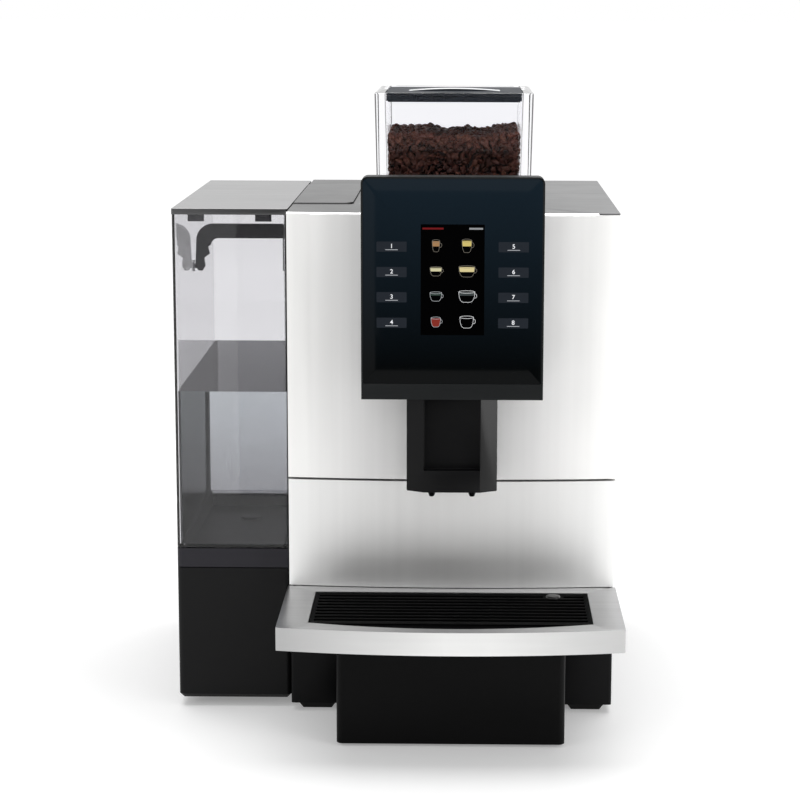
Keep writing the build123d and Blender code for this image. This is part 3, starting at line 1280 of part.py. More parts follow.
# Water tank: thin-walled clear box; its foot steps in to stand in the cradle, bosses take the bail's pins
tank_top = body_top + 0.6 - tank_lid_thickness
tank_inner = tank_width / 2 - tank_wall
tank_hinge_y = tank_back - 3
tank_hinge_z = tank_top - 2.5
hinge_pin = 1.2
hinge_lug_inner = 40.5
bail_pin = 2.5
bail_half = tank_inner - 1.8
boss_depth = 1.5
with BuildPart() as water_tank:
    block(level(tank_floor_z), (tank_left + tank_inset, tank_front + tank_inset),
          (tank_right - tank_inset, tank_back - tank_inset), tank_bottom - tank_floor_z, radius=3)
    block(level(tank_bottom), (tank_left, tank_front), (tank_right, tank_back), tank_top - tank_bottom,
          radius=tank_corner)
    block(level(tank_floor_z + tank_wall),
          (tank_left + tank_inset + tank_wall, tank_front + tank_inset + tank_wall),
          (tank_right - tank_inset - tank_wall, tank_back - tank_inset - tank_wall), tank_top,
          Mode.SUBTRACT, radius=2)
    block(level(tank_bottom + tank_wall), (tank_left + tank_wall, tank_front + tank_wall),
          (tank_right - tank_wall, tank_back - tank_wall), tank_top, Mode.SUBTRACT,
          radius=tank_corner - tank_wall)
    disc(level(tank_floor_z), (tank_mid, valve_y), valve_radius - 2, tank_wall, Mode.SUBTRACT)
    for side in (-1, 1):
        disc(across(tank_mid + side * (tank_inner - boss_depth)), (bail_y, bail_pivot_z), bail_pin + 3,
             side * boss_depth)
        disc(across(tank_mid + side * (tank_inner - boss_depth)), (bail_y, bail_pivot_z),
             bail_pin + running_gap, side * 2 * boss_depth, Mode.SUBTRACT)
    block(level(tank_hinge_z - 4), (tank_left, tank_hinge_y - 2), (tank_right, tank_back), 20, Mode.SUBTRACT)
    for side in (-1, 1):
        lug = sorted((tank_mid + side * hinge_lug_inner, tank_mid + side * (hinge_lug_inner + 5)))
        block(level(tank_hinge_z - 10), (lug[0], tank_hinge_y - lug_radius),
              (lug[1], tank_hinge_y + lug_radius / 2), 10)
        disc(across(lug[0]), (tank_hinge_y, tank_hinge_z), lug_radius, 5)
        disc(across(lug[0]), (tank_hinge_y, tank_hinge_z), hinge_pin + running_gap, 5, Mode.SUBTRACT)
save(water_tank.part, "water_tank")

# Tank lid: flat lid with two tabs behind the front wall and a hinge barrel with its pin
tab_front = tank_front + tank_wall + seat_gap
with BuildPart() as tank_lid:
    block(level(tank_top), (tank_left, tank_front), (tank_right, tank_back), tank_lid_thickness, radius=1.5)
    fillet(tank_lid.edges().group_by(Axis.Z)[-1], radius=0.6)
    block(level(tank_top), (tank_left + 4, tank_front + 4), (tank_right - 4, tank_back - 12), 3,
          Mode.SUBTRACT, radius=2)
    for x in (tank_mid - tab_offset, tank_mid + tab_offset):
        block(level(tank_top - tab_height), (x - tab_width / 2, tab_front),
              (x + tab_width / 2, tab_front + 2.5), tab_height + 3, radius=1)
    block(level(tank_hinge_z), (tank_mid - hinge_lug_inner + seat_gap, tank_hinge_y - barrel_radius),
          (tank_mid + hinge_lug_inner - seat_gap, tank_hinge_y + barrel_radius), tank_top - tank_hinge_z)
    disc(across(tank_mid - hinge_lug_inner + seat_gap), (tank_hinge_y, tank_hinge_z), barrel_radius,
         2 * (hinge_lug_inner - seat_gap))
    disc(across(tank_mid - hinge_lug_inner - 4), (tank_hinge_y, tank_hinge_z), hinge_pin,
         2 * (hinge_lug_inner + 4))
save(tank_lid.part, "tank_lid")

# Carrying bail inside the tank: a bar with one bent arm and one slim arm, both ending in pivot pins
bend_radius = 16.0
slim_arm = 7.0
bail_left = tank_mid - bail_half
bail_right = tank_mid + bail_half
bail_under = bail_top - bail_bar
bail_end_z = bail_pivot_z - 4.5
with BuildPart() as tank_handle:
    with BuildSketch(facing(bail_y + bail_thickness / 2)) as bail:
        with BuildLine():
            FilletPolyline((bail_left, bail_pivot_z), (bail_left + 2, bail_top), (tank_mid, bail_top),
                           radius=bend_radius)
            FilletPolyline((tank_mid, bail_top), (bail_right, bail_top), (bail_right, bail_end_z),
                           radius=slim_arm - 2)
            Polyline((bail_right, bail_end_z), (bail_right - slim_arm, bail_end_z),
                     (bail_right - slim_arm, bail_under), (bail_left + 23, bail_under))
            ThreePointArc((bail_left + 23, bail_under), (bail_left + 17.6, bail_under - 2.2),
                          (bail_left + 15, bail_under - 7))
            Polyline((bail_left + 15, bail_under - 7), (bail_left + 12.5, bail_pivot_z + 19),
                     (bail_left + 14, bail_pivot_z + 12), (bail_left + 8.5, bail_pivot_z + 8),
                     (bail_left + 9.5, bail_pivot_z), (bail_left + 7, bail_end_z),
                     (bail_left + 3, bail_end_z), (bail_left, bail_pivot_z))
        make_face()
    extrude(bail.sketch, amount=bail_thickness)
    for side in (-1, 1):
        disc(across(tank_mid + side * (bail_half - 4)), (bail_y, bail_pivot_z), bail_pin,
             side * (4 + tank_inner - bail_half + boss_depth - 0.5))
save(tank_handle.part, "tank_handle")

# Outlet valve in the tank's floor
with BuildPart() as tank_valve:
    disc(level(tank_floor_z + tank_wall), (tank_mid, valve_y), valve_radius, 3)
    disc(level(tank_floor_z), (tank_mid, valve_y), valve_radius - 2.2, tank_wall)
    disc(level(socket_low + socket_floor + 8), (tank_mid, valve_y), valve_radius - 0.5,
         tank_floor_z - socket_low - socket_floor - 8)
    disc(level(socket_low + socket_floor + 8), (tank_mid, valve_y), opener_radius + seat_gap, 40,
         Mode.SUBTRACT)
save(tank_valve.part, "tank_valve")

# Water in the tank
water_gap = 0.2
with BuildPart() as tank_water:
    foot_step = tank_inset + tank_wall + water_gap
    side_step = tank_wall + water_gap
    block(level(tank_floor_z + tank_wall + water_gap), (tank_left + foot_step, tank_front + foot_step),
          (tank_right - foot_step, tank_back - foot_step), tank_bottom - tank_floor_z, radius=2)
    block(level(tank_bottom + tank_wall + water_gap), (tank_left + side_step, tank_front + side_step),
          (tank_right - side_step, tank_back - side_step), water_level - tank_bottom - tank_wall - water_gap,
          radius=1.5)
    disc(level(tank_floor_z), (tank_mid, valve_y), valve_radius + seat_gap, 7, Mode.SUBTRACT)
save(tank_water.part, "tank_water")

# Hoses: tank to flow meter, meter to pump, pump to valve block, valve block to boiler, boiler to brew unit
meter_z = base_z + 9
pump_z = base_z + 36
hose_routes = (
    ((tank_mid + socket_radius, hose_y, hose_z), (-140, hose_y, hose_z), (-124, 221, meter_z),
     (8, 221, meter_z), (18, meter_y, meter_z), (meter_x - 27, meter_y, meter_z)),
    ((meter_x + 27, meter_y, meter_z), (103, meter_y, meter_z), (103, 337, meter_z),
     (pump_x, 337, meter_z), (pump_x, 337, pump_z), (pump_x, pump_y + pump_reach, pump_z)),
    ((pump_x, pump_y - pump_reach, pump_z), (pump_x, 216, pump_z), (pump_x, 216, valve_z)),
    ((-30, 224, valve_z + 13), (-42, 224, valve_z + 13), (-42, 224, 338), (boiler_x, boiler_y, 338),
     (boiler_x, boiler_y, boiler_bottom + boiler_height + 10)),
    ((boiler_x, boiler_y - boiler_radius, 296), (boiler_x, 110, 296), (boiler_x, brew_y, 262),
     (-chamber_radius, brew_y, 262)),
)
bend = 6.0
with BuildPart() as water_hoses:
    for route in hose_routes:
        places = [(body_x + x, front_y + y, z) for x, y, z in route]
        with BuildLine() as run:
            FilletPolyline(*places, radius=bend)
        with BuildSketch(Plane(origin=run.line @ 0, z_dir=run.line % 0)) as ring:
            Circle(hose_radius)
            Circle(hose_bore, mode=Mode.SUBTRACT)
        sweep(ring.sketch, path=run.line)
save(water_hoses.part, "water_hoses")
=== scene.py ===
import bmesh
import bpy
import json
import math
import numpy as np
from mathutils import Matrix, Vector


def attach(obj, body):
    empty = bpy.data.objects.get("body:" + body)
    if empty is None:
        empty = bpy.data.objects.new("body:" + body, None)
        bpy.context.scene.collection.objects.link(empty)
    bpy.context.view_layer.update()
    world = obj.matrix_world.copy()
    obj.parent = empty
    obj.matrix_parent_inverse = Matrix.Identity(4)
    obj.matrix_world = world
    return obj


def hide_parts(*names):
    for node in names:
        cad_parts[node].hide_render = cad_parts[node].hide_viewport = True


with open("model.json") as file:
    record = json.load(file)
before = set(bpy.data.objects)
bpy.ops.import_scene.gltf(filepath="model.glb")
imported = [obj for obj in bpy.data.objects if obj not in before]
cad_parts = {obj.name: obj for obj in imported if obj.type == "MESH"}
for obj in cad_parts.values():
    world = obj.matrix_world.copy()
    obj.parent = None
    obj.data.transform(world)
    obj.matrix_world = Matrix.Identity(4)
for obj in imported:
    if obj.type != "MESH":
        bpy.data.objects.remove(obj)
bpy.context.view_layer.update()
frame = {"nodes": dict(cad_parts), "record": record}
slotOf = {row["node"]: row["material_slot"] for row in frame["record"]["subparts"]}
bodyOf = {node: body for body, members in frame["record"]["behaviour"]["bodies"].items() for node in members}
print("frame loaded:", len(frame["nodes"]), "pieces")

# Lengths here are millimetres from the middle of the body's front corners: x right, y back, z up.
bodyOrigin = np.array([53.3, -102.1, 0.0])
draws = np.random.default_rng(11)


# ---- mesh tools

# A point grid (rows, columns, 3) as quads; wrap joins the last column to the first, and a fan of
# triangles from the mean point closes the first or last row.
def gridShape(points, wrap=False, capFirst=False, capLast=False):
    rows, columns = points.shape[:2]
    index = np.arange(rows * columns).reshape(rows, columns)
    here, after = (index, np.roll(index, -1, axis=1)) if wrap else (index[:, :-1], index[:, 1:])
    faces = [np.stack([here[:-1], after[:-1], after[1:], here[1:]], axis=-1).reshape(-1, 4)]
    verts = points.reshape(-1, 3)
    for wanted, row in ((capFirst, 0), (capLast, rows - 1)):
        if wanted:
            centre = len(verts)
            verts = np.vstack([verts, points[row].mean(axis=0)])
            fan = np.stack([index[row], np.roll(index[row], -1)], axis=-1)
            faces.append(np.column_stack([fan, np.full(columns, centre), np.full(columns, -1)]))
    return verts, np.vstack(faces)


# Several shapes as one vertex list and one face list, each shape's numbers shifted past the last.
def joinShapes(shapes):
    starts = np.cumsum([0] + [len(v) for v, _ in shapes[:-1]])
    verts = np.vstack([v for v, _ in shapes])
    faces = np.vstack([np.where(f < 0, -1, f + s) for (_, f), s in zip(shapes, starts)])
    return verts, faces


# Smooth shading up to the angle between faces; none at all for an angle of nothing, as clear walls need.
def smoothMesh(mesh, angle):
    mesh.polygons.foreach_set("use_smooth", np.full(len(mesh.polygons), angle > 0))
    if angle > 0:
        mesh.set_sharp_from_angle(angle=math.radians(angle))


# One object from shapes given in millimetres: scaled to metres, moved by the body's origin, faces turned
# outwards, smooth except at edges sharper than the angle. It rides on a body and stands for CAD nodes
# where it has any. Tints are one colour for each vertex, kept as a point attribute.
def makePiece(name, shapes, material, body, replaced=(), smoothAngle=32, tints=None):
    verts, faces = joinShapes(shapes) if isinstance(shapes, list) else shapes
    mesh = bpy.data.meshes.new(name)
    sizes = np.where(faces[:, 3] < 0, 3, 4)
    corners = faces[faces >= 0]
    mesh.vertices.add(len(verts))
    mesh.vertices.foreach_set("co", ((verts + bodyOrigin) / 1000).astype(np.float32).ravel())
    mesh.loops.add(len(corners))
    mesh.loops.foreach_set("vertex_index", corners.astype(np.int32))
    mesh.polygons.add(len(sizes))
    mesh.polygons.foreach_set("loop_start", np.concatenate([[0], np.cumsum(sizes)[:-1]]).astype(np.int32))
    mesh.update(calc_edges=True)
    mesh.validate()
    if tints is not None:
        layer = mesh.color_attributes.new("tint", "FLOAT_COLOR", "POINT")
        layer.data.foreach_set("color", np.column_stack([tints, np.ones(len(tints))]).astype(np.float32).ravel())
    work = bmesh.new()
    work.from_mesh(mesh)
    bmesh.ops.recalc_face_normals(work, faces=work.faces)
    work.to_mesh(mesh)
    work.free()
    smoothMesh(mesh, smoothAngle)
    mesh.materials.append(material)
    piece = bpy.data.objects.new(name, mesh)
    bpy.context.scene.collection.objects.link(piece)
    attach(piece, body)
    if replaced:
        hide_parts(*replaced)
    return piece


# Inset outline: each corner of a closed line (x, y) moves inwards along the mean of its two edge
# normals, stretched by the half angle between them so that the edges keep their distance.
def insetLine(line, distance):
    forward = np.roll(line, -1, axis=0) - line
    forward /= np.linalg.norm(forward, axis=1, keepdims=True) + 1e-12
    inward = np.column_stack([-forward[:, 1], forward[:, 0]])
    before = np.roll(inward, 1, axis=0)
    return line + (inward + before) * distance / (1 + (inward * before).sum(axis=1, keepdims=True))


# Closed line round a rectangle with its own radius at each corner: lower left, lower right, upper right,
# upper left. Each corner is a quarter circle.
def corneredBox(x0, x1, z0, z1, radii, steps=6):
    turn = np.linspace(0, math.pi / 2, steps + 1)
    corners = (((x0, 1), (z0, 1), radii[0], 1), ((x1, -1), (z0, 1), radii[1], 1.5),
               ((x1, -1), (z1, -1), radii[2], 0), ((x0, 1), (z1, -1), radii[3], 0.5))
    line = []
    for (cx, sx), (cz, sz), radius, start in corners:
        angle = turn + start * math.pi
        line.append(np.column_stack([cx + radius * (sx + np.cos(angle)), cz + radius * (sz + np.sin(angle))]))
    return np.vstack(line)


# Solid between levels: the outline inset by each row's distance, at each row's height, closed at the ends.
def stackShape(line, rows):
    rings = [np.column_stack([insetLine(line, d), np.full(len(line), z)]) for d, z in rows]
    return gridShape(np.array(rings), wrap=True, capFirst=True, capLast=True)


# Upright plate: a stack worked out in x and z, then turned so that its rows run along y.
def uprightShape(line, rows):
    verts, faces = stackShape(line, rows)
    return verts[:, [0, 2, 1]], faces


# Flat ribbon along a line in x and z: half its width to each side along the normal, between two depths.
def ribbonShape(line, width, yBack, yFront, closed=False):
    if closed:
        along = np.roll(line, -1, axis=0) - np.roll(line, 1, axis=0)
    else:
        along = np.gradient(line, axis=0)
    along = along / (np.linalg.norm(along, axis=1, keepdims=True) + 1e-9)
    side = np.column_stack([-along[:, 1], along[:, 0]]) * width / 2
    edges = ((line + side, yBack), (line + side, yFront), (line - side, yFront), (line - side, yBack))
    grid = np.stack([np.column_stack([p[:, 0], np.full(len(p), y), p[:, 1]]) for p, y in edges], axis=1)
    if closed:
        return gridShape(np.concatenate([grid, grid[:1]]), wrap=True)
    return gridShape(grid, wrap=True, capFirst=True, capLast=True)


# A welded copy of a CAD node: doubles merged, flat triangle pairs joined, sharp edges rounded by a bevel of
# so many millimetres, or with none the broad faces kept flat in their shading. Each painted row gives a
# material and a test of face centres (mm) and normals that says which faces take it; the bevel's own faces
# may have a material too.
def weldedCopy(node, name, bevel=0.0, painted=(), edgeMaterial=None, smoothAngle=32):
    mesh = frame["nodes"][node].data.copy()
    mesh.name = name
    work = bmesh.new()
    work.from_mesh(mesh)
    bmesh.ops.remove_doubles(work, verts=work.verts, dist=2e-6)
    bmesh.ops.join_triangles(work, faces=work.faces, angle_face_threshold=math.radians(0.4),
                             angle_shape_threshold=math.radians(60))
    work.to_mesh(mesh)
    work.free()
    smoothMesh(mesh, smoothAngle)
    if painted:
        count = len(mesh.polygons)
        centres, normals = np.empty(count * 3, np.float32), np.empty(count * 3, np.float32)
        mesh.polygons.foreach_get("center", centres)
        mesh.polygons.foreach_get("normal", normals)
        centres = centres.reshape(-1, 3) * 1000 - bodyOrigin
        normals = normals.reshape(-1, 3)
        index = np.zeros(count, np.int32)
        for row, (material, test) in enumerate(painted, start=1):
            mesh.materials.append(material)
            index[test(centres, normals)] = row
        mesh.polygons.foreach_set("material_index", index)
    piece = bpy.data.objects.new(name, mesh)
    bpy.context.scene.collection.objects.link(piece)
    if bevel:
        rounding = piece.modifiers.new("roundedEdges", "BEVEL")
        rounding.width = bevel / 1000
        rounding.segments = 2
        rounding.limit_method = "ANGLE"
        rounding.angle_limit = math.radians(38)
        rounding.harden_normals = smoothAngle > 0
        rounding.miter_outer = "MITER_ARC"
        if edgeMaterial:
            mesh.materials.append(edgeMaterial)
            rounding.material = len(mesh.materials) - 1
    elif smoothAngle > 0:
        flatten = piece.modifiers.new("flatFaces", "WEIGHTED_NORMAL")
        flatten.keep_sharp = True
        flatten.weight = 100
    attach(piece, bodyOf[node])
    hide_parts(node)


# ---- materials

# Empty node group with named inputs and number outputs.
def startGroup(name, inputs, outputs):
    group = bpy.data.node_groups.new(name, "ShaderNodeTree")
    for label, kind in inputs:
        group.interface.new_socket(label, in_out="INPUT", socket_type=kind)
    for label in outputs:
        group.interface.new_socket(label, in_out="OUTPUT", socket_type="NodeSocketFloat")
    source, target = group.nodes.new("NodeGroupInput"), group.nodes.new("NodeGroupOutput")
    return group, group.nodes, group.links, source, target


def addNoise(nodes, links, vector, scale, detail, roughness=0.5):
    noise = nodes.new("ShaderNodeTexNoise")
    noise.inputs["Scale"].default_value = scale
    noise.inputs["Detail"].default_value = detail
    noise.inputs["Roughness"].default_value = roughness
    links.new(vector, noise.inputs["Vector"])
    return noise


# Group: fine lines along one direction. Object coordinates times the stretch feed two noises, one for
# the grain's height and one, slower, for its shade; a third, unstretched, is where hands have rubbed.
def grainGroup():
    group, nodes, links, source, target = startGroup(
        "brushedGrain",
        (("Vector", "NodeSocketVector"), ("Stretch", "NodeSocketVector"), ("Contrast", "NodeSocketFloat")),
        ("Shade", "Height", "Rub"))
    stretched = nodes.new("ShaderNodeVectorMath")
    stretched.operation = "MULTIPLY"
    links.new(source.outputs["Vector"], stretched.inputs[0])
    links.new(source.outputs["Stretch"], stretched.inputs[1])
    lines = addNoise(nodes, links, stretched.outputs[0], 1.0, 4.0, 0.7)
    broad = addNoise(nodes, links, stretched.outputs[0], 0.16, 3.0)
    spread = nodes.new("ShaderNodeMath")
    spread.operation = "SUBTRACT"
    spread.inputs[1].default_value = 0.5
    links.new(broad.outputs["Fac"], spread.inputs[0])
    scaled = nodes.new("ShaderNodeMath")
    scaled.operation = "MULTIPLY_ADD"
    scaled.inputs[2].default_value = 0.5
    links.new(spread.outputs[0], scaled.inputs[0])
    links.new(source.outputs["Contrast"], scaled.inputs[1])
    rub = addNoise(nodes, links, source.outputs["Vector"], 22.0, 5.0)
    links.new(scaled.outputs[0], target.inputs["Shade"])
    links.new(lines.outputs["Fac"], target.inputs["Height"])
    links.new(rub.outputs["Fac"], target.inputs["Rub"])
    return group


# Group: the skin of moulded plastic. A very fine noise is its height, a slow one its mottle, and the
# peaks of a third are its rubbed places.
def mouldGroup():
    group, nodes, links, source, target = startGroup(
        "mouldedSkin", (("Vector", "NodeSocketVector"), ("Scale", "NodeSocketFloat")), ("Height", "Mottle", "Rubbed"))
    fine = addNoise(nodes, links, source.outputs["Vector"], 900.0, 2.0)
    links.new(source.outputs["Scale"], fine.inputs["Scale"])
    slow = addNoise(nodes, links, source.outputs["Vector"], 14.0, 4.0)
    marks = addNoise(nodes, links, source.outputs["Vector"], 60.0, 6.0)
    peaks = nodes.new("ShaderNodeMapRange")
    peaks.inputs["From Min"].default_value = 0.62
    peaks.inputs["From Max"].default_value = 0.72
    links.new(marks.outputs["Fac"], peaks.inputs["Value"])
    links.new(fine.outputs["Fac"], target.inputs["Height"])
    links.new(slow.outputs["Fac"], target.inputs["Mottle"])
    links.new(peaks.outputs["Result"], target.inputs["Rubbed"])
    return group


brushedGrain = grainGroup()
mouldedSkin = mouldGroup()
materials = {}


# New material under its name, with plain values on its shader; gives its nodes, links, shader and the
# object coordinates.
def startMaterial(name, **values):
    material = bpy.data.materials.new(name)
    material.use_nodes = True
    nodes, links = material.node_tree.nodes, material.node_tree.links
    shader = nodes["Principled BSDF"]
    for label, value in values.items():
        shader.inputs[label.replace("_", " ")].default_value = value
    place = nodes.new("ShaderNodeTexCoord")
    materials[name] = material
    return nodes, links, shader, place.outputs["Object"]


# Value moved from one range to another.
def rangeOf(nodes, links, value, low, high, fromLow=0.0, fromHigh=1.0):
    node = nodes.new("ShaderNodeMapRange")
    node.inputs["From Min"].default_value = fromLow
    node.inputs["From Max"].default_value = fromHigh
    node.inputs["To Min"].default_value = low
    node.inputs["To Max"].default_value = high
    links.new(value, node.inputs["Value"])
    return node.outputs["Result"]


# Colour between two, by a value from 0 to 1.
def blendColour(nodes, links, value, first, second, kind="MIX"):
    node = nodes.new("ShaderNodeMix")
    node.data_type = "RGBA"
    node.blend_type = kind
    if isinstance(value, float):
        node.inputs["Factor"].default_value = value
    else:
        links.new(value, node.inputs["Factor"])
    for socket, colour in ((node.inputs[6], first), (node.inputs[7], second)):
        if isinstance(colour, tuple):
            socket.default_value = (*colour, 1)
        else:
            links.new(colour, socket)
    return node.outputs[2]


def addBump(nodes, links, shader, height, strength, distance):
    bump = nodes.new("ShaderNodeBump")
    bump.inputs["Strength"].default_value = strength
    bump.inputs["Distance"].default_value = distance
    links.new(height, bump.inputs["Height"])
    links.new(bump.outputs["Normal"], shader.inputs["Normal"])


def addSkin(nodes, links, where, scale):
    skin = nodes.new("ShaderNodeGroup")
    skin.node_tree = mouldedSkin
    links.new(where, skin.inputs["Vector"])
    skin.inputs["Scale"].default_value = scale
    return skin


def addGrain(nodes, links, where, stretch, contrast):
    grain = nodes.new("ShaderNodeGroup")
    grain.node_tree = brushedGrain
    links.new(where, grain.inputs["Vector"])
    grain.inputs["Stretch"].default_value = stretch
    grain.inputs["Contrast"].default_value = contrast
    return grain


# One colour times another, into the shader's base colour.
def multiplyInto(nodes, links, shader, first, second):
    links.new(blendColour(nodes, links, 1.0, first, second, "MULTIPLY"), shader.inputs["Base Color"])


# Colour that changes with z in object coordinates, between two heights in metres.
def shadeByHeight(nodes, links, where, low, high, bottom, top):
    split = nodes.new("ShaderNodeSeparateXYZ")
    links.new(where, split.inputs[0])
    height = rangeOf(nodes, links, split.outputs["Z"], 0.0, 1.0, low, high)
    return blendColour(nodes, links, height, bottom, top)


# Each point's own colour, from the attribute that makePiece writes.
def pointTint(nodes):
    tint = nodes.new("ShaderNodeAttribute")
    tint.attribute_name = "tint"
    return tint.outputs["Color"]


# Brushed metal: colour between a dark and a light shade by the grain's slow lines, roughness by the rub.
def brushedMetal(name, dark, light, stretch, roughness, contrast=1.6, bump=0.02):
    nodes, links, shader, where = startMaterial(name, Metallic=1.0)
    grain = addGrain(nodes, links, where, stretch, contrast)
    links.new(blendColour(nodes, links, grain.outputs["Shade"], dark, light), shader.inputs["Base Color"])
    links.new(rangeOf(nodes, links, grain.outputs["Rub"], *roughness), shader.inputs["Roughness"])
    addBump(nodes, links, shader, grain.outputs["Height"], bump, 0.001)


# Moulded plastic or rubber: colour by the mottle, roughness by the rubbed places, fine grain as bump.
def mouldedPlastic(name, dark, light, roughness, scale=900.0, bump=0.05, **values):
    nodes, links, shader, where = startMaterial(name, **values)
    skin = addSkin(nodes, links, where, scale)
    links.new(blendColour(nodes, links, skin.outputs["Mottle"], dark, light), shader.inputs["Base Color"])
    mixed = nodes.new("ShaderNodeMath")
    mixed.operation = "MULTIPLY_ADD"
    mixed.inputs[1].default_value = 0.35
    links.new(skin.outputs["Rubbed"], mixed.inputs[0])
    links.new(skin.outputs["Mottle"], mixed.inputs[2])
    links.new(rangeOf(nodes, links, mixed.outputs[0], *roughness), shader.inputs["Roughness"])
    addBump(nodes, links, shader, skin.outputs["Height"], bump, 0.0004)


# Clear plastic: a slightly uneven tint and gloss, and grey absorption along the light's path.
def clearMaterial(name, tint, deeper, bend, roughness=0.02, smoke=None, density=0.0):
    nodes, links, shader, where = startMaterial(name, Transmission_Weight=1.0, IOR=bend)
    skin = addSkin(nodes, links, where, 30.0)
    links.new(blendColour(nodes, links, skin.outputs["Mottle"], tint, deeper), shader.inputs["Base Color"])
    links.new(rangeOf(nodes, links, skin.outputs["Rubbed"], roughness, roughness + 0.04), shader.inputs["Roughness"])
    if smoke:
        absorb = nodes.new("ShaderNodeVolumeAbsorption")
        absorb.inputs["Color"].default_value = (*smoke, 1)
        absorb.inputs["Density"].default_value = density
        links.new(absorb.outputs["Volume"], nodes["Material Output"].inputs["Volume"])


upright, sideways, allWays = (700.0, 700.0, 9.0), (7.0, 800.0, 800.0), (200.0, 200.0, 200.0)
# Tank lid and tray top: the front's steel made darker, painted shade for faces that look up.
brushedMetal("lidSteel", (0.26, 0.26, 0.262), (0.33, 0.33, 0.332), sideways, (0.30, 0.42), contrast=2.0)
brushedMetal("traySteel", (0.42, 0.42, 0.425), (0.53, 0.53, 0.535), sideways, (0.26, 0.36), contrast=1.2)
brushedMetal("lidEdgeSteel", (0.09, 0.09, 0.092), (0.13, 0.13, 0.132), sideways, (0.3, 0.4))
brushedMetal("galvanisedSteel", (0.42, 0.43, 0.44), (0.60, 0.61, 0.62), (60.0,) * 3, (0.35, 0.55), contrast=2.5)
brushedMetal("burrSteel", (0.38, 0.38, 0.39), (0.62, 0.62, 0.63), allWays, (0.2, 0.32))
brushedMetal("motorSteel", (0.30, 0.30, 0.31), (0.42, 0.42, 0.43), (300.0, 300.0, 6.0), (0.3, 0.42))
brushedMetal("boilerSteel", (0.55, 0.54, 0.52), (0.68, 0.67, 0.65), (400.0, 400.0, 8.0), (0.2, 0.35))
brushedMetal("castAlloy", (0.42, 0.42, 0.43), (0.56, 0.56, 0.57), allWays, (0.45, 0.6), bump=0.15)
brushedMetal("brass", (0.62, 0.44, 0.18), (0.74, 0.56, 0.26), allWays, (0.22, 0.38))
mouldedPlastic("blackPlastic", (0.0030, 0.0030, 0.0033), (0.0055, 0.0055, 0.006), (0.34, 0.50), IOR=1.22)
mouldedPlastic("binPlastic", (0.0012, 0.0012, 0.0013), (0.0026, 0.0026, 0.0027), (0.34, 0.46), IOR=1.18)
mouldedPlastic("basePlastic", (0.0068, 0.0068, 0.0071), (0.0100, 0.0100, 0.0104), (0.34, 0.50), IOR=1.22)
mouldedPlastic("bezelPlastic", (0.010, 0.011, 0.0115), (0.014, 0.0155, 0.016), (0.34, 0.46), IOR=1.26)
mouldedPlastic("spoutBlack", (0.0028, 0.0028, 0.0028), (0.0050, 0.0050, 0.0050), (0.14, 0.26), bump=0.02, IOR=1.36)
mouldedPlastic("grilleBlack", (0.0008, 0.0008, 0.0009), (0.0018, 0.0018, 0.002), (0.42, 0.55), bump=0.02, IOR=1.05)
mouldedPlastic("smokyPlastic", (0.026, 0.025, 0.030), (0.034, 0.033, 0.039), (0.34, 0.46), bump=0.01, IOR=1.22)
mouldedPlastic("tankFloorPlastic", (0.010, 0.010, 0.011), (0.014, 0.014, 0.016), (0.34, 0.46), bump=0.0, IOR=1.15)
mouldedPlastic("lidPlastic", (0.017, 0.020, 0.026), (0.024, 0.028, 0.035), (0.30, 0.42), bump=0.01, IOR=1.06)
mouldedPlastic("lidArchHighlight", (0.62, 0.63, 0.65), (0.72, 0.73, 0.75), (0.10, 0.18), bump=0.0, IOR=1.5)
mouldedPlastic("rubber", (0.006, 0.006, 0.006), (0.012, 0.012, 0.012), (0.6, 0.8), scale=500.0, bump=0.12, IOR=1.3)
mouldedPlastic("pumpPlastic", (0.05, 0.05, 0.055), (0.09, 0.09, 0.095), (0.4, 0.55))
mouldedPlastic("silicone", (0.60, 0.60, 0.58), (0.74, 0.74, 0.72), (0.35, 0.5), IOR=1.41)
mouldedPlastic("circuitBoard", (0.01, 0.10, 0.035), (0.02, 0.17, 0.06), (0.3, 0.45), scale=300.0)
mouldedPlastic("displayBlack", (0.0004, 0.0004, 0.0005), (0.0009, 0.0009, 0.001), (0.1, 0.16), bump=0.0, IOR=1.15)
mouldedPlastic("keyPlate", (0.018, 0.022, 0.029), (0.024, 0.029, 0.037), (0.16, 0.24), bump=0.0, IOR=1.2)
mouldedPlastic("hopperCornerShade", (0.14, 0.135, 0.14), (0.20, 0.195, 0.20), (0.14, 0.24), bump=0.0, IOR=1.3)
clearMaterial("hopperClear", (0.945, 0.945, 0.96), (0.915, 0.915, 0.935), 1.2)
clearMaterial("tankClear", (0.985, 0.985, 0.99), (0.96, 0.96, 0.97), 1.40, smoke=(0.42, 0.41, 0.44), density=115.0)
clearMaterial("clearPlastic", (0.90, 0.90, 0.88), (0.84, 0.84, 0.82), 1.5, roughness=0.08)


# Brushed steel with a painted reflection: its colour changes slowly across it, near shade about a line of x and far
# shade beyond the reach, standing in for the light and dark that a bowed or broad sheet reflects under one light.
def gradedSteel(name, centre, reach, near, far, stretch, roughness, contrast):
    nodes, links, shader, where = startMaterial(name, Metallic=1.0)
    grain = addGrain(nodes, links, where, stretch, 1.0)
    split = nodes.new("ShaderNodeSeparateXYZ")
    links.new(where, split.inputs[0])
    aside = nodes.new("ShaderNodeMath")
    aside.operation = "SUBTRACT"
    aside.inputs[1].default_value = centre
    links.new(split.outputs["X"], aside.inputs[0])
    away = nodes.new("ShaderNodeMath")
    away.operation = "ABSOLUTE"
    links.new(aside.outputs[0], away.inputs[0])
    shade = blendColour(nodes, links, rangeOf(nodes, links, away.outputs[0], 0.0, 1.0, *reach), near, far)
    low, high = (1 - contrast,) * 3, (1 + contrast,) * 3
    grained = blendColour(nodes, links, grain.outputs["Shade"], low, high)
    multiplyInto(nodes, links, shader, shade, grained)
    links.new(rangeOf(nodes, links, grain.outputs["Rub"], *roughness), shader.inputs["Roughness"])
    addBump(nodes, links, shader, grain.outputs["Height"], 0.02, 0.001)
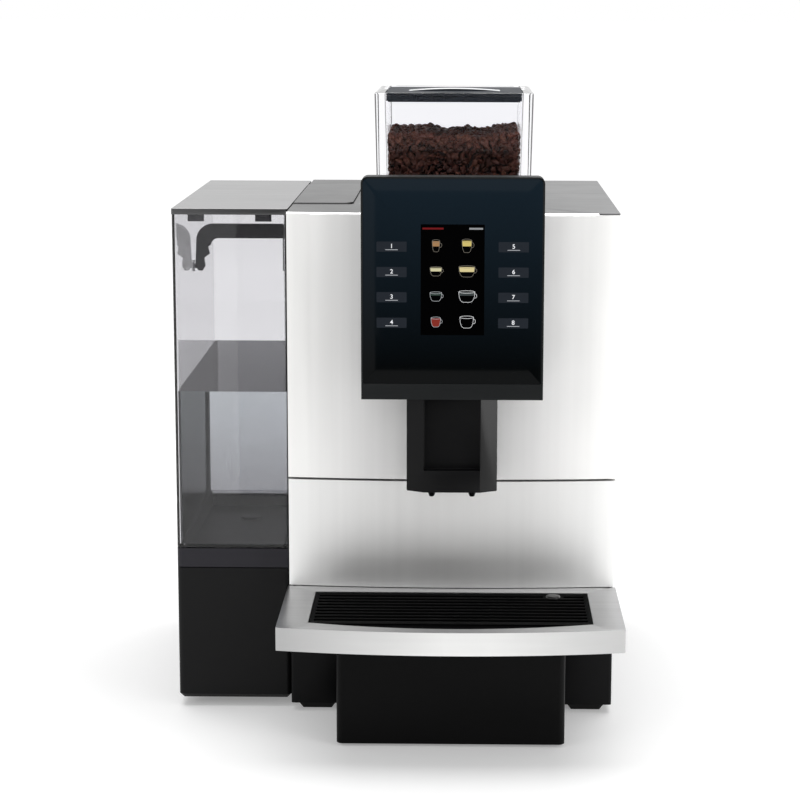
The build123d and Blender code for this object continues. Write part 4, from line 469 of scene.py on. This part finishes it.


# Water: greyer towards the tank's floor, a painted shade, with a faint ripple. Its outer side and its surface
# let less light through and bend it less than its body does, painted shade for the tank's left side and the water's
# top.
def waterMaterial(name, top, bottom, transmission, bend=1.333):
    nodes, links, shader, where = startMaterial(name, Transmission_Weight=transmission, IOR=bend)
    skin = addSkin(nodes, links, where, 30.0)
    mottled = blendColour(nodes, links, skin.outputs["Mottle"], (0.98, 0.98, 0.98), (1.0, 1.0, 1.0))
    multiplyInto(nodes, links, shader, shadeByHeight(nodes, links, where, 0.16, 0.30, bottom, top), mottled)
    links.new(rangeOf(nodes, links, skin.outputs["Rubbed"], 0.0, 0.03), shader.inputs["Roughness"])
    addBump(nodes, links, shader, skin.outputs["Height"], 0.01, 0.0005)


# Screen glass: near black at its foot, blue-black at its head, a painted reflection that lightens its head.
def screenGlassMaterial():
    nodes, links, shader, where = startMaterial("screenGlass", IOR=1.16, Roughness=0.06)
    skin = addSkin(nodes, links, where, 400.0)
    shade = shadeByHeight(nodes, links, where, 0.34, 0.50, (0.0018, 0.0024, 0.0026), (0.0085, 0.0160, 0.0240))
    mottled = blendColour(nodes, links, skin.outputs["Mottle"], (0.92, 0.92, 0.92), (1.06, 1.06, 1.06))
    multiplyInto(nodes, links, shader, shade, mottled)
    links.new(rangeOf(nodes, links, skin.outputs["Rubbed"], 0.05, 0.11), shader.inputs["Roughness"])


# Lit marks on the screen: each point's tint, uneven by a slow noise as a backlight is.
def litMarksMaterial():
    nodes, links, shader, where = startMaterial("litMarks", IOR=1.2, Roughness=0.25)
    skin = addSkin(nodes, links, where, 300.0)
    uneven = blendColour(nodes, links, skin.outputs["Mottle"], (0.80, 0.80, 0.80), (1.0, 1.0, 1.0))
    shade = blendColour(nodes, links, 1.0, pointTint(nodes), uneven, "MULTIPLY")
    links.new(shade, shader.inputs["Emission Color"])
    shader.inputs["Emission Strength"].default_value = 0.9
    multiplyInto(nodes, links, shader, shade, (0.2, 0.2, 0.2))


# Roasted beans: each bean's own brown, darker and lighter over its skin, with an oily gloss.
def beanMaterial():
    nodes, links, shader, where = startMaterial("roastedBeans", IOR=1.22)
    skin = addSkin(nodes, links, where, 700.0)
    uneven = blendColour(nodes, links, skin.outputs["Rubbed"], (0.85, 0.85, 0.85), (1.25, 1.2, 1.15))
    multiplyInto(nodes, links, shader, pointTint(nodes), uneven)
    links.new(rangeOf(nodes, links, skin.outputs["Mottle"], 0.30, 0.50), shader.inputs["Roughness"])
    addBump(nodes, links, shader, skin.outputs["Height"], 0.2, 0.0003)


# Painted reflection across x on the door, lower panel and tray front; the top plates' steel is also far darker,
# painted shade for a top face.
gradedSteel("frontSteel", 0.053, (0.075, 0.145), (0.88, 0.875, 0.87), (0.985, 0.98, 0.965), upright,
            (0.42, 0.48), 0.05)
gradedSteel("panelSteel", 0.053, (0.0, 0.15), (0.97, 0.965, 0.955), (0.88, 0.88, 0.87), upright, (0.40, 0.46), 0.05)
# Side panels: the front's steel made darker, painted shade for the sides.
brushedMetal("sideSteel", (0.36, 0.36, 0.36), (0.44, 0.44, 0.438), sideways, (0.34, 0.44), contrast=1.2)
gradedSteel("fasciaSteel", 0.068, (0.02, 0.16), (0.86, 0.86, 0.85), (0.42, 0.42, 0.42), sideways, (0.26, 0.34), 0.05)
gradedSteel("topSteel", 0.26, (0.0, 0.32), (0.20, 0.20, 0.203), (0.10, 0.10, 0.101), sideways, (0.30, 0.42), 0.30)
waterMaterial("water", (0.585, 0.62, 0.64), (0.30, 0.30, 0.315), 1.0)
waterMaterial("waterSideShade", (0.12, 0.12, 0.125), (0.15, 0.15, 0.155), 0.12, bend=1.02)
waterMaterial("waterTopShade", (0.19, 0.185, 0.20), (0.19, 0.185, 0.20), 0.35, bend=1.05)
screenGlassMaterial()
litMarksMaterial()
beanMaterial()
print("materials made:", len(materials))

slotFinish = {
    "brushed_steel": "frontSteel", "tank_lid_steel": "lidSteel", "galvanised_steel": "galvanisedSteel",
    "black_plastic": "blackPlastic", "gloss_black": "spoutBlack", "grille_black": "grilleBlack",
    "dark_plastic": "smokyPlastic", "rubber": "rubber", "screen_glass": "screenGlass",
    "display": "displayBlack", "circuit_board": "circuitBoard", "clear_plastic": "clearPlastic",
    "hopper_clear": "hopperClear", "tank_clear": "tankClear", "water": "water", "coffee_beans": "rubber",
    "burr_steel": "burrSteel", "motor_steel": "motorSteel", "boiler_steel": "boilerSteel",
    "pump_plastic": "pumpPlastic", "cast_alloy": "castAlloy", "brass": "brass", "silicone": "silicone",
}
ownFinish = {
    "right_side_panel": "sideSteel", "left_side_panel": "sideSteel", "lower_front_panel": "panelSteel",
    "top_cover": "topSteel", "powder_lid": "topSteel", "tray_frame": "traySteel",
    "screen_housing": "bezelPlastic", "hopper_lid": "lidPlastic", "hopper_gasket": "lidPlastic",
    "grounds_bin": "binPlastic", "tank_base": "basePlastic",
}
for name, node in frame["nodes"].items():
    node.data.materials.clear()
    node.data.materials.append(materials[ownFinish.get(name, slotFinish[slotOf[name]])])
print("CAD pieces finished")


# ---- camera

photo = {"place": (0.06494, -2.02359, 0.66529), "pitch": 9.63, "yaw": -0.69, "roll": 0.19,
         "lens": 96.06, "shift": (-0.05, -0.05)}
pitch, yaw, roll = (math.radians(photo[k]) for k in ("pitch", "yaw", "roll"))
ahead = Vector((math.sin(yaw) * math.cos(pitch), math.cos(yaw) * math.cos(pitch), -math.sin(pitch)))
right = Vector((math.cos(yaw), -math.sin(yaw), 0))
up = right.cross(ahead)
cameraRight = right * math.cos(roll) + up * math.sin(roll)
cameraUp = up * math.cos(roll) - right * math.sin(roll)
cameraData = bpy.data.cameras.new("photoCamera")
cameraData.lens = photo["lens"]
cameraData.shift_x, cameraData.shift_y = photo["shift"]
camera = bpy.data.objects.new("photoCamera", cameraData)
bpy.context.scene.collection.objects.link(camera)
facing = Matrix((cameraRight, cameraUp, -ahead)).transposed().to_4x4()
camera.matrix_world = Matrix.Translation(photo["place"]) @ facing
bpy.context.scene.camera = camera


# ---- rigid covers and mouldings

# Heights and depths (mm) that part one finish from another on a node, and shares of a face's normal.
parting = {"trayFront": -3, "lidTabs": 469, "tankFloor": 158.8, "tankFootBack": 315, "tankFootLow": 142.5,
           "hopperFoot": 490, "archTop": 578.1, "level": 0.5, "spoutRight": 0.3, "cornerSide": 0.82,
           "cornerFront": 0.15, "cornerUp": 0.3}

for node, name, bevel in (("front_door", "door_skin", 0.5), ("lower_front_panel", "lower_panel_skin", 0.4)):
    weldedCopy(node, name, bevel)
# Painted shade: the tray's bevelled edges take near-black steel, drawing dark lines along them.
weldedCopy("tray_frame", "tray_surround", 0.5,
           [(materials["fasciaSteel"], lambda centre, normal:
             (normal[:, 2] < parting["level"]) & (centre[:, 1] < parting["trayFront"]))],
           edgeMaterial=materials["lidEdgeSteel"])
weldedCopy("tank_lid", "tank_cover", 0.4,
           [(materials["lidEdgeSteel"], lambda centre, normal:
             (centre[:, 2] > parting["lidTabs"]) & (normal[:, 2] < parting["level"])),
            (materials["smokyPlastic"], lambda centre, normal: centre[:, 2] < parting["lidTabs"])])
weldedCopy("water_tank", "tank_shell", 0.5,
           [(materials["tankFloorPlastic"], lambda centre, normal: (centre[:, 2] < parting["tankFloor"])
             & ((centre[:, 1] < parting["tankFootBack"]) | (centre[:, 2] < parting["tankFootLow"])))],
           smoothAngle=0)
for node, name, bevel in (("screen_housing", "screen_frame", 0.8), ("tank_base", "tank_plinth", 0.7),
                          ("tank_cradle", "tank_band", 0.6), ("grounds_bin", "grounds_drawer", 0.7),
                          ("tank_handle", "tank_bail", 0.6), ("drip_grille", "grille_slats", 0.3),
                          ("powder_lid", "powder_cover", 0.4), ("coffee_nozzles", "outlet_nozzles", 0.0),
                          ("tray_float", "float_dome", 0.4), ("top_cover", "cover_plate", 0.3),
                          ("base_plinth", "machine_plinth", 0.6)):
    weldedCopy(node, name, bevel)
# Painted shade: the hopper's corner rounds take an opaque grey, for the dark look the clear corners take by
# refraction.
weldedCopy("bean_hopper", "hopper_shell", 0.0,
           [(materials["hopperCornerShade"], lambda centre, normal: (abs(normal[:, 0]) > parting["cornerSide"])
             & (abs(normal[:, 1]) > parting["cornerFront"]) & (abs(normal[:, 2]) < parting["cornerUp"])
             & (centre[:, 2] > parting["hopperFoot"]))])
# Painted shade: the spout's faces that look left or forward take the duller black plastic, so they render darker than
# the lit right facets.
weldedCopy("spout_body", "outlet_body", 0.6,
           [(materials["blackPlastic"], lambda centre, normal: normal[:, 0] < parting["spoutRight"])])
# Painted highlight: the arch's top faces and the lid's bevels take a pale glossy plastic, for the light they catch.
weldedCopy("hopper_lid", "hopper_cover", 0.7,
           [(materials["lidArchHighlight"], lambda centre, normal:
             (centre[:, 2] > parting["archTop"]) & (normal[:, 2] > parting["level"]))],
           edgeMaterial=materials["lidArchHighlight"])
print("covers and mouldings made")


# ---- screen

screen = {"half": 78.9, "low": 328.3, "high": 509.9, "front": -61.9, "back": -59.0, "corner": 4.5,
          "edge": 0.35, "displayHalf": 28.0, "displayLow": 372.0, "displayHigh": 470.0, "plateDepth": 0.012,
          "markDepth": 0.035}
turn = np.linspace(0, math.pi / 2, 4)
glassLine = corneredBox(-screen["half"], screen["half"], screen["low"], screen["high"],
                        (0.5, 0.5, screen["corner"], screen["corner"]))
edgeRows = [(screen["edge"] * (1 - math.sin(a)), screen["front"] + screen["edge"] * (1 - math.cos(a)))
            for a in turn[::-1]]
makePiece("screen_pane", uprightShape(glassLine, [(0, screen["back"])] + edgeRows), materials["screenGlass"],
          "door", ["screen_glass"], smoothAngle=20)

plateFront, markFront = screen["front"] - screen["plateDepth"], screen["front"] - screen["markDepth"]
displayLine = corneredBox(-screen["displayHalf"], screen["displayHalf"], screen["displayLow"], screen["displayHigh"],
                          (0.3,) * 4, steps=2)
makePiece("display_area", uprightShape(displayLine, [(0, screen["front"]), (0, plateFront)]),
          materials["displayBlack"], "door")

keys = {"inner": 40.3, "outer": 66.8, "rows": (450.2, 427.8, 405.5, 382.8), "height": 9.0, "corner": 0.6,
        "numeral": 5.4, "numeralFoot": -1.2, "dash": 11.0, "dashFoot": -2.7, "dashWidth": 0.5,
        "white": (0.92, 0.94, 0.97), "grey": (0.50, 0.52, 0.55)}
plates = []
for row in keys["rows"]:
    for x0, x1 in ((-keys["outer"], -keys["inner"]), (keys["inner"], keys["outer"])):
        line = corneredBox(x0, x1, row - keys["height"] / 2, row + keys["height"] / 2,
                           (keys["corner"],) * 4, steps=3)
        plates.append(uprightShape(line, [(0, screen["front"]), (0, plateFront)]))
makePiece("key_plates", plates, materials["keyPlate"], "door")

marks, markTints = [], []


def addMark(shape, colour):
    marks.append(shape)
    markTints.append(np.tile(colour, (len(shape[0]), 1)))


# Cup side from rim to rim over half a turn: x is half the width times cosine to the power 0.35, narrower by
# 0.22 of the sine; z falls by the height times sine to the power 0.55.
def cupLine(x, z, width, height, parts=20):
    t = np.linspace(0, math.pi, parts)
    side = np.sign(np.cos(t)) * np.abs(np.cos(t)) ** 0.35
    return np.column_stack([x - side * width / 2 * (1 - 0.22 * np.sin(t)),
                            z + height / 2 - height * np.sin(t) ** 0.55])


# Rim: a flat ellipse round the cup's mouth.
def rimLine(x, z, width, height, parts=20):
    t = np.linspace(0, 2 * math.pi, parts, endpoint=False)
    return np.column_stack([x + width / 2 * np.cos(t), z + height / 2 + 0.12 * height * np.sin(t)])


# Handle: a little over half of an ellipse at the cup's right.
def handleLine(x, z, width, height, parts=10):
    t = np.linspace(-0.55 * math.pi, 0.55 * math.pi, parts)
    return np.column_stack([x + width / 2 * 0.97 + height * 0.2 * np.cos(t),
                            z + height * 0.12 + height * 0.22 * np.sin(t)])


# Drink: the part of the cup above a share of its height, filled.
def drinkShape(x, z, width, height, share):
    line = cupLine(x, z, width * 0.94, height * 0.96)
    floor = z + height / 2 - height * share
    line[:, 1] = np.maximum(line[:, 1], floor)
    return uprightShape(line, [(0, plateFront), (0, markFront)])


cups = {
    "stroke": 0.30, "line": (0.50, 0.52, 0.54), "bright": (0.90, 0.91, 0.92), "dim": (0.20, 0.18, 0.15),
    "list": (  # x, row, width, height, share of the drink, its colour, outline
        (-14.6, 0, 6.6, 9.6, 0.50, (0.36, 0.20, 0.09), "dim"), (12.5, 0, 8.6, 10.6, 0.48, (0.62, 0.50, 0.16), "dim"),
        (-14.6, 1, 10.4, 7.4, 0.45, (0.66, 0.62, 0.38), "dim"), (12.6, 1, 14.2, 9.0, 0.50, (0.70, 0.60, 0.30), "dim"),
        (-14.6, 2, 10.4, 7.4, 0.34, (0.03, 0.05, 0.04), "line"),
        (12.6, 2, 14.2, 9.2, 0.36, (0.05, 0.06, 0.06), "bright"),
        (-14.6, 3, 8.4, 8.0, 0.96, (0.24, 0.03, 0.02), "line"), (12.6, 3, 12.0, 9.6, 0.0, None, "bright"),
    ),
}
for x, row, width, height, share, colour, outline in cups["list"]:
    z = keys["rows"][row] + 0.4
    if colour:
        addMark(drinkShape(x, z, width, height, share), colour)
    for line, closed in ((cupLine(x, z, width, height), False), (rimLine(x, z, width, height), True),
                         (handleLine(x, z, width, height), False)):
        addMark(ribbonShape(line, cups["stroke"], plateFront, markFront - 0.004, closed), cups[outline])
bars = {"z": 466.3, "width": 1.6,
        "list": ((-26.5, -8.0, (0.16, 0.01, 0.012)), (14.5, 26.5, (0.30, 0.31, 0.32)))}
for x0, x1, colour in bars["list"]:
    line = np.array([(x0, bars["z"]), (x1, bars["z"])])
    addMark(ribbonShape(line, bars["width"], plateFront, markFront), colour)
for number, (side, row) in enumerate([(side, row) for side in (-1, 1) for row in range(4)], start=1):
    x, z = side * (keys["inner"] + keys["outer"]) / 2, keys["rows"][row]
    line = np.array([(x - keys["dash"] / 2, z + keys["dashFoot"]), (x + keys["dash"] / 2, z + keys["dashFoot"])])
    addMark(ribbonShape(line, keys["dashWidth"], plateFront, markFront), keys["grey"])
    curve = bpy.data.curves.new(f"numeral{number}", "FONT")
    curve.body = str(number)
    curve.size = keys["numeral"]
    curve.align_x = "CENTER"
    curve.offset = 0.06
    text = bpy.data.objects.new(f"numeral{number}", curve)
    glyph = bpy.data.meshes.new_from_object(text)
    count = len(glyph.vertices)
    flat = np.empty(count * 3, np.float32)
    glyph.vertices.foreach_get("co", flat)
    flat = flat.reshape(-1, 3).astype(float)
    glyph.calc_loop_triangles()
    tris = np.empty(len(glyph.loop_triangles) * 3, np.int32)
    glyph.loop_triangles.foreach_get("vertices", tris)
    tris = tris.reshape(-1, 3)
    verts = np.column_stack([flat[:, 0] + x, np.full(count, markFront), flat[:, 1] + z + keys["numeralFoot"]])
    addMark((verts, np.column_stack([tris, np.full(len(tris), -1)])), keys["white"])
    bpy.data.objects.remove(text)
    bpy.data.meshes.remove(glyph)
makePiece("screen_marks", marks, materials["litMarks"], "door", tints=np.vstack(markTints))
print("screen made:", len(marks), "marks")


# ---- coffee beans

beans = {"long": 4.5, "wide": 3.3, "thick": 2.5, "pocketHalf": 64.2, "front": 56.0, "back": 216.0, "top": 579.0,
         "draft": math.tan(math.radians(1.4)), "floor": 478.4, "corner": 6.0, "gap": 0.2, "level": 536.5,
         "wallTop": 540, "wallPitch": (6.9, 6.1), "wallJitter": 1.4, "secondWall": 5.6, "topJitter": 1.6,
         "layers": ((0.0, (6.9, 6.3)), (4.6, (8.5, 8.0))),
         "browns": ((0.060, 0.020, 0.015), (0.120, 0.050, 0.034), (0.024, 0.008, 0.006)),
         "dark": (0.012, 0.005, 0.004), "paintedLightDepth": 7, "paintedLightGain": 1.7}


# Bean: rings along its length, each ring a half ellipse above and a flatter half below with a crease
# down its middle, all shrinking towards the two ends as the cosine of the angle along it.
def beanTemplate():
    section = np.array([(1.0, 0.0), (0.76, 0.64), (0.0, 1.0), (-0.76, 0.64), (-1.0, 0.0), (-0.62, -0.40),
                        (-0.15, -0.44), (0.0, -0.08), (0.15, -0.44), (0.62, -0.40)])
    along = np.radians([-72, -40, 0, 40, 72])
    rings = np.stack([np.column_stack([np.full(10, math.sin(a) / math.sin(math.radians(75))),
                                       section[:, 0] * math.cos(a) ** 0.8, section[:, 1] * math.cos(a) ** 0.8])
                      for a in along])
    return gridShape(rings, wrap=True, capFirst=True, capLast=True)


# Heap: level, with one slow wave across and along it and one short wave across.
def heapHeight(x, y):
    return beans["level"] + 1.8 * np.sin(x / 15 + 1) * np.cos(y / 23) + 0.9 * np.sin(x / 6.1)


# Jittered grid over a rectangle, as two columns.
def scatter(u0, u1, v0, v1, pitch, jitter):
    u, v = np.meshgrid(np.arange(u0, u1, pitch[0]), np.arange(v0, v1, pitch[1]))
    u = u + (np.arange(len(u)) % 2)[:, None] * pitch[0] / 2
    spots = np.column_stack([u.ravel(), v.ravel()])
    return spots + draws.uniform(-jitter, jitter, spots.shape)


# Beans start against the four walls, twice at the front, and in two layers at the top of the heap.
half, front, back = beans["pocketHalf"], beans["front"], beans["back"]
places = []
for depth in (front, front + beans["secondWall"], back):
    wall = scatter(-half, half, beans["floor"], beans["wallTop"], beans["wallPitch"], beans["wallJitter"])
    places.append(np.column_stack([wall[:, 0], np.full(len(wall), depth), wall[:, 1]]))
for side in (-half, half):
    wall = scatter(front + 5, back - 4, beans["floor"], beans["wallTop"], beans["wallPitch"], beans["wallJitter"])
    places.append(np.column_stack([np.full(len(wall), side), wall]))
for depth, step in beans["layers"]:
    top = scatter(-half, half, front, back, step, beans["topJitter"])
    places.append(np.column_stack([top, heapHeight(top[:, 0], top[:, 1]) - depth]))
places = np.vstack(places)
count = len(places)

# Each bean's turn is a unit quaternion, and its rotation matrix follows from it.
turns = draws.normal(size=(count, 4))
turns /= np.linalg.norm(turns, axis=1, keepdims=True)
w, x, y, z = turns.T
rotations = np.stack([1 - 2 * (y * y + z * z), 2 * (x * y - z * w), 2 * (x * z + y * w),
                      2 * (x * y + z * w), 1 - 2 * (x * x + z * z), 2 * (y * z - x * w),
                      2 * (x * z - y * w), 2 * (y * z + x * w), 1 - 2 * (x * x + y * y)], axis=1).reshape(-1, 3, 3)

# A bean's reach along each axis is the root of its squared rotated sizes. It is held that far inside the
# walls, which lean in towards the foot, inside the corner rounds, above the floor and under the heap's top.
sizes = np.array([beans["long"], beans["wide"], beans["thick"]]) * draws.uniform(0.88, 1.08, (count, 1))
reach = np.sqrt(np.einsum("nij,nj->ni", rotations ** 2, sizes ** 2)) + beans["gap"]
places[:, 2] = np.minimum(places[:, 2], heapHeight(places[:, 0], places[:, 1]) + 1.5)
places[:, 2] = np.maximum(places[:, 2], beans["floor"] + reach[:, 2])
narrow = (beans["top"] - places[:, 2] + reach[:, 2]) * beans["draft"]
room = half - narrow - reach[:, 0]
places[:, 0] = np.clip(places[:, 0], -room, room)
places[:, 1] = np.clip(places[:, 1], front + narrow + reach[:, 1], back - narrow - reach[:, 1])
middle = np.array([0, (front + back) / 2])
inner = np.column_stack([half - narrow, (back - front) / 2 - narrow]) - beans["corner"]
over = np.maximum(np.abs(places[:, :2] - middle) - inner, 0)
excess = np.linalg.norm(over, axis=1)
allowed = np.maximum(beans["corner"] - reach[:, :2].max(axis=1), 0.3)
shrink = np.where((over.min(axis=1) > 0) & (excess > allowed), allowed / np.maximum(excess, 1e-6), 1.0)[:, None]
places[:, :2] -= np.sign(places[:, :2] - middle) * over * (1 - shrink)

template, templateFaces = beanTemplate()
beanVerts = np.einsum("nij,nvj->nvi", rotations, template[None] * sizes[:, None]) + places[:, None]
firstVertex = (np.arange(count) * len(template))[:, None, None]
beanFaces = np.where(templateFaces[None] < 0, -1, templateFaces[None] + firstVertex)
mixes = draws.dirichlet((1.4, 0.8, 1.0), count) @ np.array(beans["browns"])
# Painted light: beans near the heap's top are made lighter, for the light that falls on them from above.
paintedTopLight = np.where(places[:, 2:] > beans["level"] - beans["paintedLightDepth"], beans["paintedLightGain"], 1.0)
beanTints = np.repeat(mixes * paintedTopLight * draws.uniform(0.75, 1.2, (count, 1)), len(template), axis=0)

# A dark core fills the middle of the heap, and a dark neck the funnel's throat, both painted shade where beans lie
# out of the light.
core = stackShape(corneredBox(-half, half, front, back, (beans["corner"],) * 4),
                  [(9.5, beans["floor"] + 0.4), (6.5, 500), (6.0, 530), (9.0, beans["level"] - 2)])
neck = stackShape(corneredBox(-26, 26, 112, 164, (beans["corner"],) * 4), [(0, 462), (0, beans["floor"] + 0.2)])
shapes = [(beanVerts.reshape(-1, 3), beanFaces.reshape(-1, 4)), core, neck]
tints = np.vstack([beanTints, np.tile(beans["dark"], (len(core[0]) + len(neck[0]), 1))])
makePiece("bean_pile", shapes, materials["roastedBeans"], "hopper", ["coffee_beans"],
          smoothAngle=60, tints=tints)
print("beans made:", count)


# ---- water

water = {"left": -255.4, "right": -154.5, "front": 26.6, "back": 327.4, "low": 141.6, "level": 304.0, "corner": 2.4,
         "footInset": 4.0, "footTop": 158.0, "floor": 158.4}
waterLine = corneredBox(water["left"], water["right"], water["front"], water["back"], (water["corner"],) * 4)
waterRows = [(water["footInset"], water["low"]), (water["footInset"], water["footTop"]),
             (0.0, water["floor"]), (0.0, water["level"])]
fill = makePiece("tank_fill", stackShape(waterLine, waterRows), materials["water"], "tank",
                 ["tank_water"], smoothAngle=0)

# Faces that look left take the side's painted shade, and faces that look up the surface's.
fill.data.materials.append(materials["waterSideShade"])
fill.data.materials.append(materials["waterTopShade"])
normals = np.empty(len(fill.data.polygons) * 3, np.float32)
fill.data.polygons.foreach_get("normal", normals)
slots = np.where(normals[0::3] < -0.05, 1, np.where(normals[2::3] > 0.9, 2, 0))
fill.data.polygons.foreach_set("material_index", slots.astype(np.int32))
print("water made")


# ---- studio

def areaLamp(name, place, aim, size, power):
    data = bpy.data.lights.new(name, "AREA")
    data.shape = "RECTANGLE"
    data.size, data.size_y = size
    data.energy = power
    lamp = bpy.data.objects.new(name, data)
    bpy.context.scene.collection.objects.link(lamp)
    lamp.location = place
    lamp.rotation_euler = (Vector(aim) - Vector(place)).to_track_quat("-Z", "Y").to_euler()


# Upright card that only reflections see.
def studioCard(name, left, right, height, shade):
    corners = [(*left, 0), (*right, 0), (*right, height), (*left, height)]
    mesh = bpy.data.meshes.new(name)
    mesh.from_pydata(corners, [], [(0, 1, 2, 3)])
    card = bpy.data.objects.new(name, mesh)
    bpy.context.scene.collection.objects.link(card)
    for ray in ("camera", "diffuse", "transmission", "volume_scatter", "shadow"):
        setattr(card, "visible_" + ray, False)
    material = bpy.data.materials.new(name)
    material.use_nodes = True
    nodes, links = material.node_tree.nodes, material.node_tree.links
    nodes.remove(nodes["Principled BSDF"])
    glow = nodes.new("ShaderNodeEmission")
    glow.inputs["Strength"].default_value = shade
    links.new(glow.outputs[0], nodes["Material Output"].inputs["Surface"])
    mesh.materials.append(material)


studio = {
    "lamps": (  # name, place, aim, size, power in watts
        ("overheadSoftbox", (0.0, 0.45, 2.3), (0, 0.1, 0.2), (3.0, 2.2), 56),
        ("leftSoftbox", (-2.0, -1.6, 1.2), (0, 0, 0.3), (1.0, 1.8), 11),
        ("rightSoftbox", (2.0, -1.5, 0.9), (0, 0, 0.3), (1.0, 1.6), 17),
    ),
    "cards": (  # name, left foot, right foot, height, brightness
        ("darkFlag", (-0.24, -0.95), (0.38, -0.95), 0.62, 0.06),
        ("brightStrip", (0.75, -1.0), (1.15, -0.35), 0.6, 3.3),
    ),
    "worldUnseen": 0.5, "worldSeen": 1.0, "worldShine": 0.95,
    "floorSide": 30, "floorFront": -12, "floorBack": 60, "floorShine": 0.8, "paper": (0.8, 0.8, 0.8, 1),
    "floorGlow": (0.25, 0.66), "glowReach": (0.5, 3.2),
}
for row in studio["lamps"]:
    areaLamp(*row)
for row in studio["cards"]:
    studioCard(*row)


# The larger of Light Path's camera, glossy and transmission rays, moved to a range.
def seenRays(nodes, links, low, high, glossyShare):
    path = nodes.new("ShaderNodeLightPath")
    shine = nodes.new("ShaderNodeMath")
    shine.operation = "MULTIPLY"
    shine.inputs[1].default_value = glossyShare
    links.new(path.outputs["Is Glossy Ray"], shine.inputs[0])
    total = path.outputs["Is Camera Ray"]
    for ray in (path.outputs["Is Transmission Ray"], shine.outputs[0]):
        larger = nodes.new("ShaderNodeMath")
        larger.operation = "MAXIMUM"
        links.new(total, larger.inputs[0])
        links.new(ray, larger.inputs[1])
        total = larger.outputs[0]
    return rangeOf(nodes, links, total, low, high)


world = bpy.data.worlds.new("studio")
bpy.context.scene.world = world
world.use_nodes = True
nodes, links = world.node_tree.nodes, world.node_tree.links
background = nodes["Background"]
background.inputs["Color"].default_value = (1, 1, 1, 1)
strength = seenRays(nodes, links, studio["worldUnseen"], studio["worldSeen"], studio["worldShine"])
links.new(strength, background.inputs["Strength"])

# The floor is plain paper for light, and glows for what looks at it, the more the farther it is.
floorMesh = bpy.data.meshes.new("studioFloor")
side, front, back = studio["floorSide"], studio["floorFront"], studio["floorBack"]
floorMesh.from_pydata([(-side, front, 0), (side, front, 0), (side, back, 0), (-side, back, 0)], [], [(0, 1, 2, 3)])
floor = bpy.data.objects.new("studioFloor", floorMesh)
bpy.context.scene.collection.objects.link(floor)
paperFloor = bpy.data.materials.new("paperFloor")
paperFloor.use_nodes = True
floorMesh.materials.append(paperFloor)
nodes, links = paperFloor.node_tree.nodes, paperFloor.node_tree.links
nodes.remove(nodes["Principled BSDF"])
paper = nodes.new("ShaderNodeBsdfDiffuse")
paper.inputs["Color"].default_value = studio["paper"]
glow = nodes.new("ShaderNodeEmission")
place = nodes.new("ShaderNodeTexCoord")
far = nodes.new("ShaderNodeVectorMath")
far.operation = "LENGTH"
links.new(place.outputs["Object"], far.inputs[0])
seen = nodes.new("ShaderNodeMath")
seen.operation = "MULTIPLY"
links.new(seenRays(nodes, links, 0.0, 1.0, studio["floorShine"]), seen.inputs[0])
distanceGlow = rangeOf(nodes, links, far.outputs["Value"], *studio["floorGlow"], *studio["glowReach"])
links.new(distanceGlow, seen.inputs[1])
links.new(seen.outputs[0], glow.inputs["Strength"])
both = nodes.new("ShaderNodeAddShader")
links.new(paper.outputs[0], both.inputs[0])
links.new(glow.outputs[0], both.inputs[1])
links.new(both.outputs[0], nodes["Material Output"].inputs["Surface"])
bpy.context.scene.view_settings.view_transform = "Standard"
print("studio made")
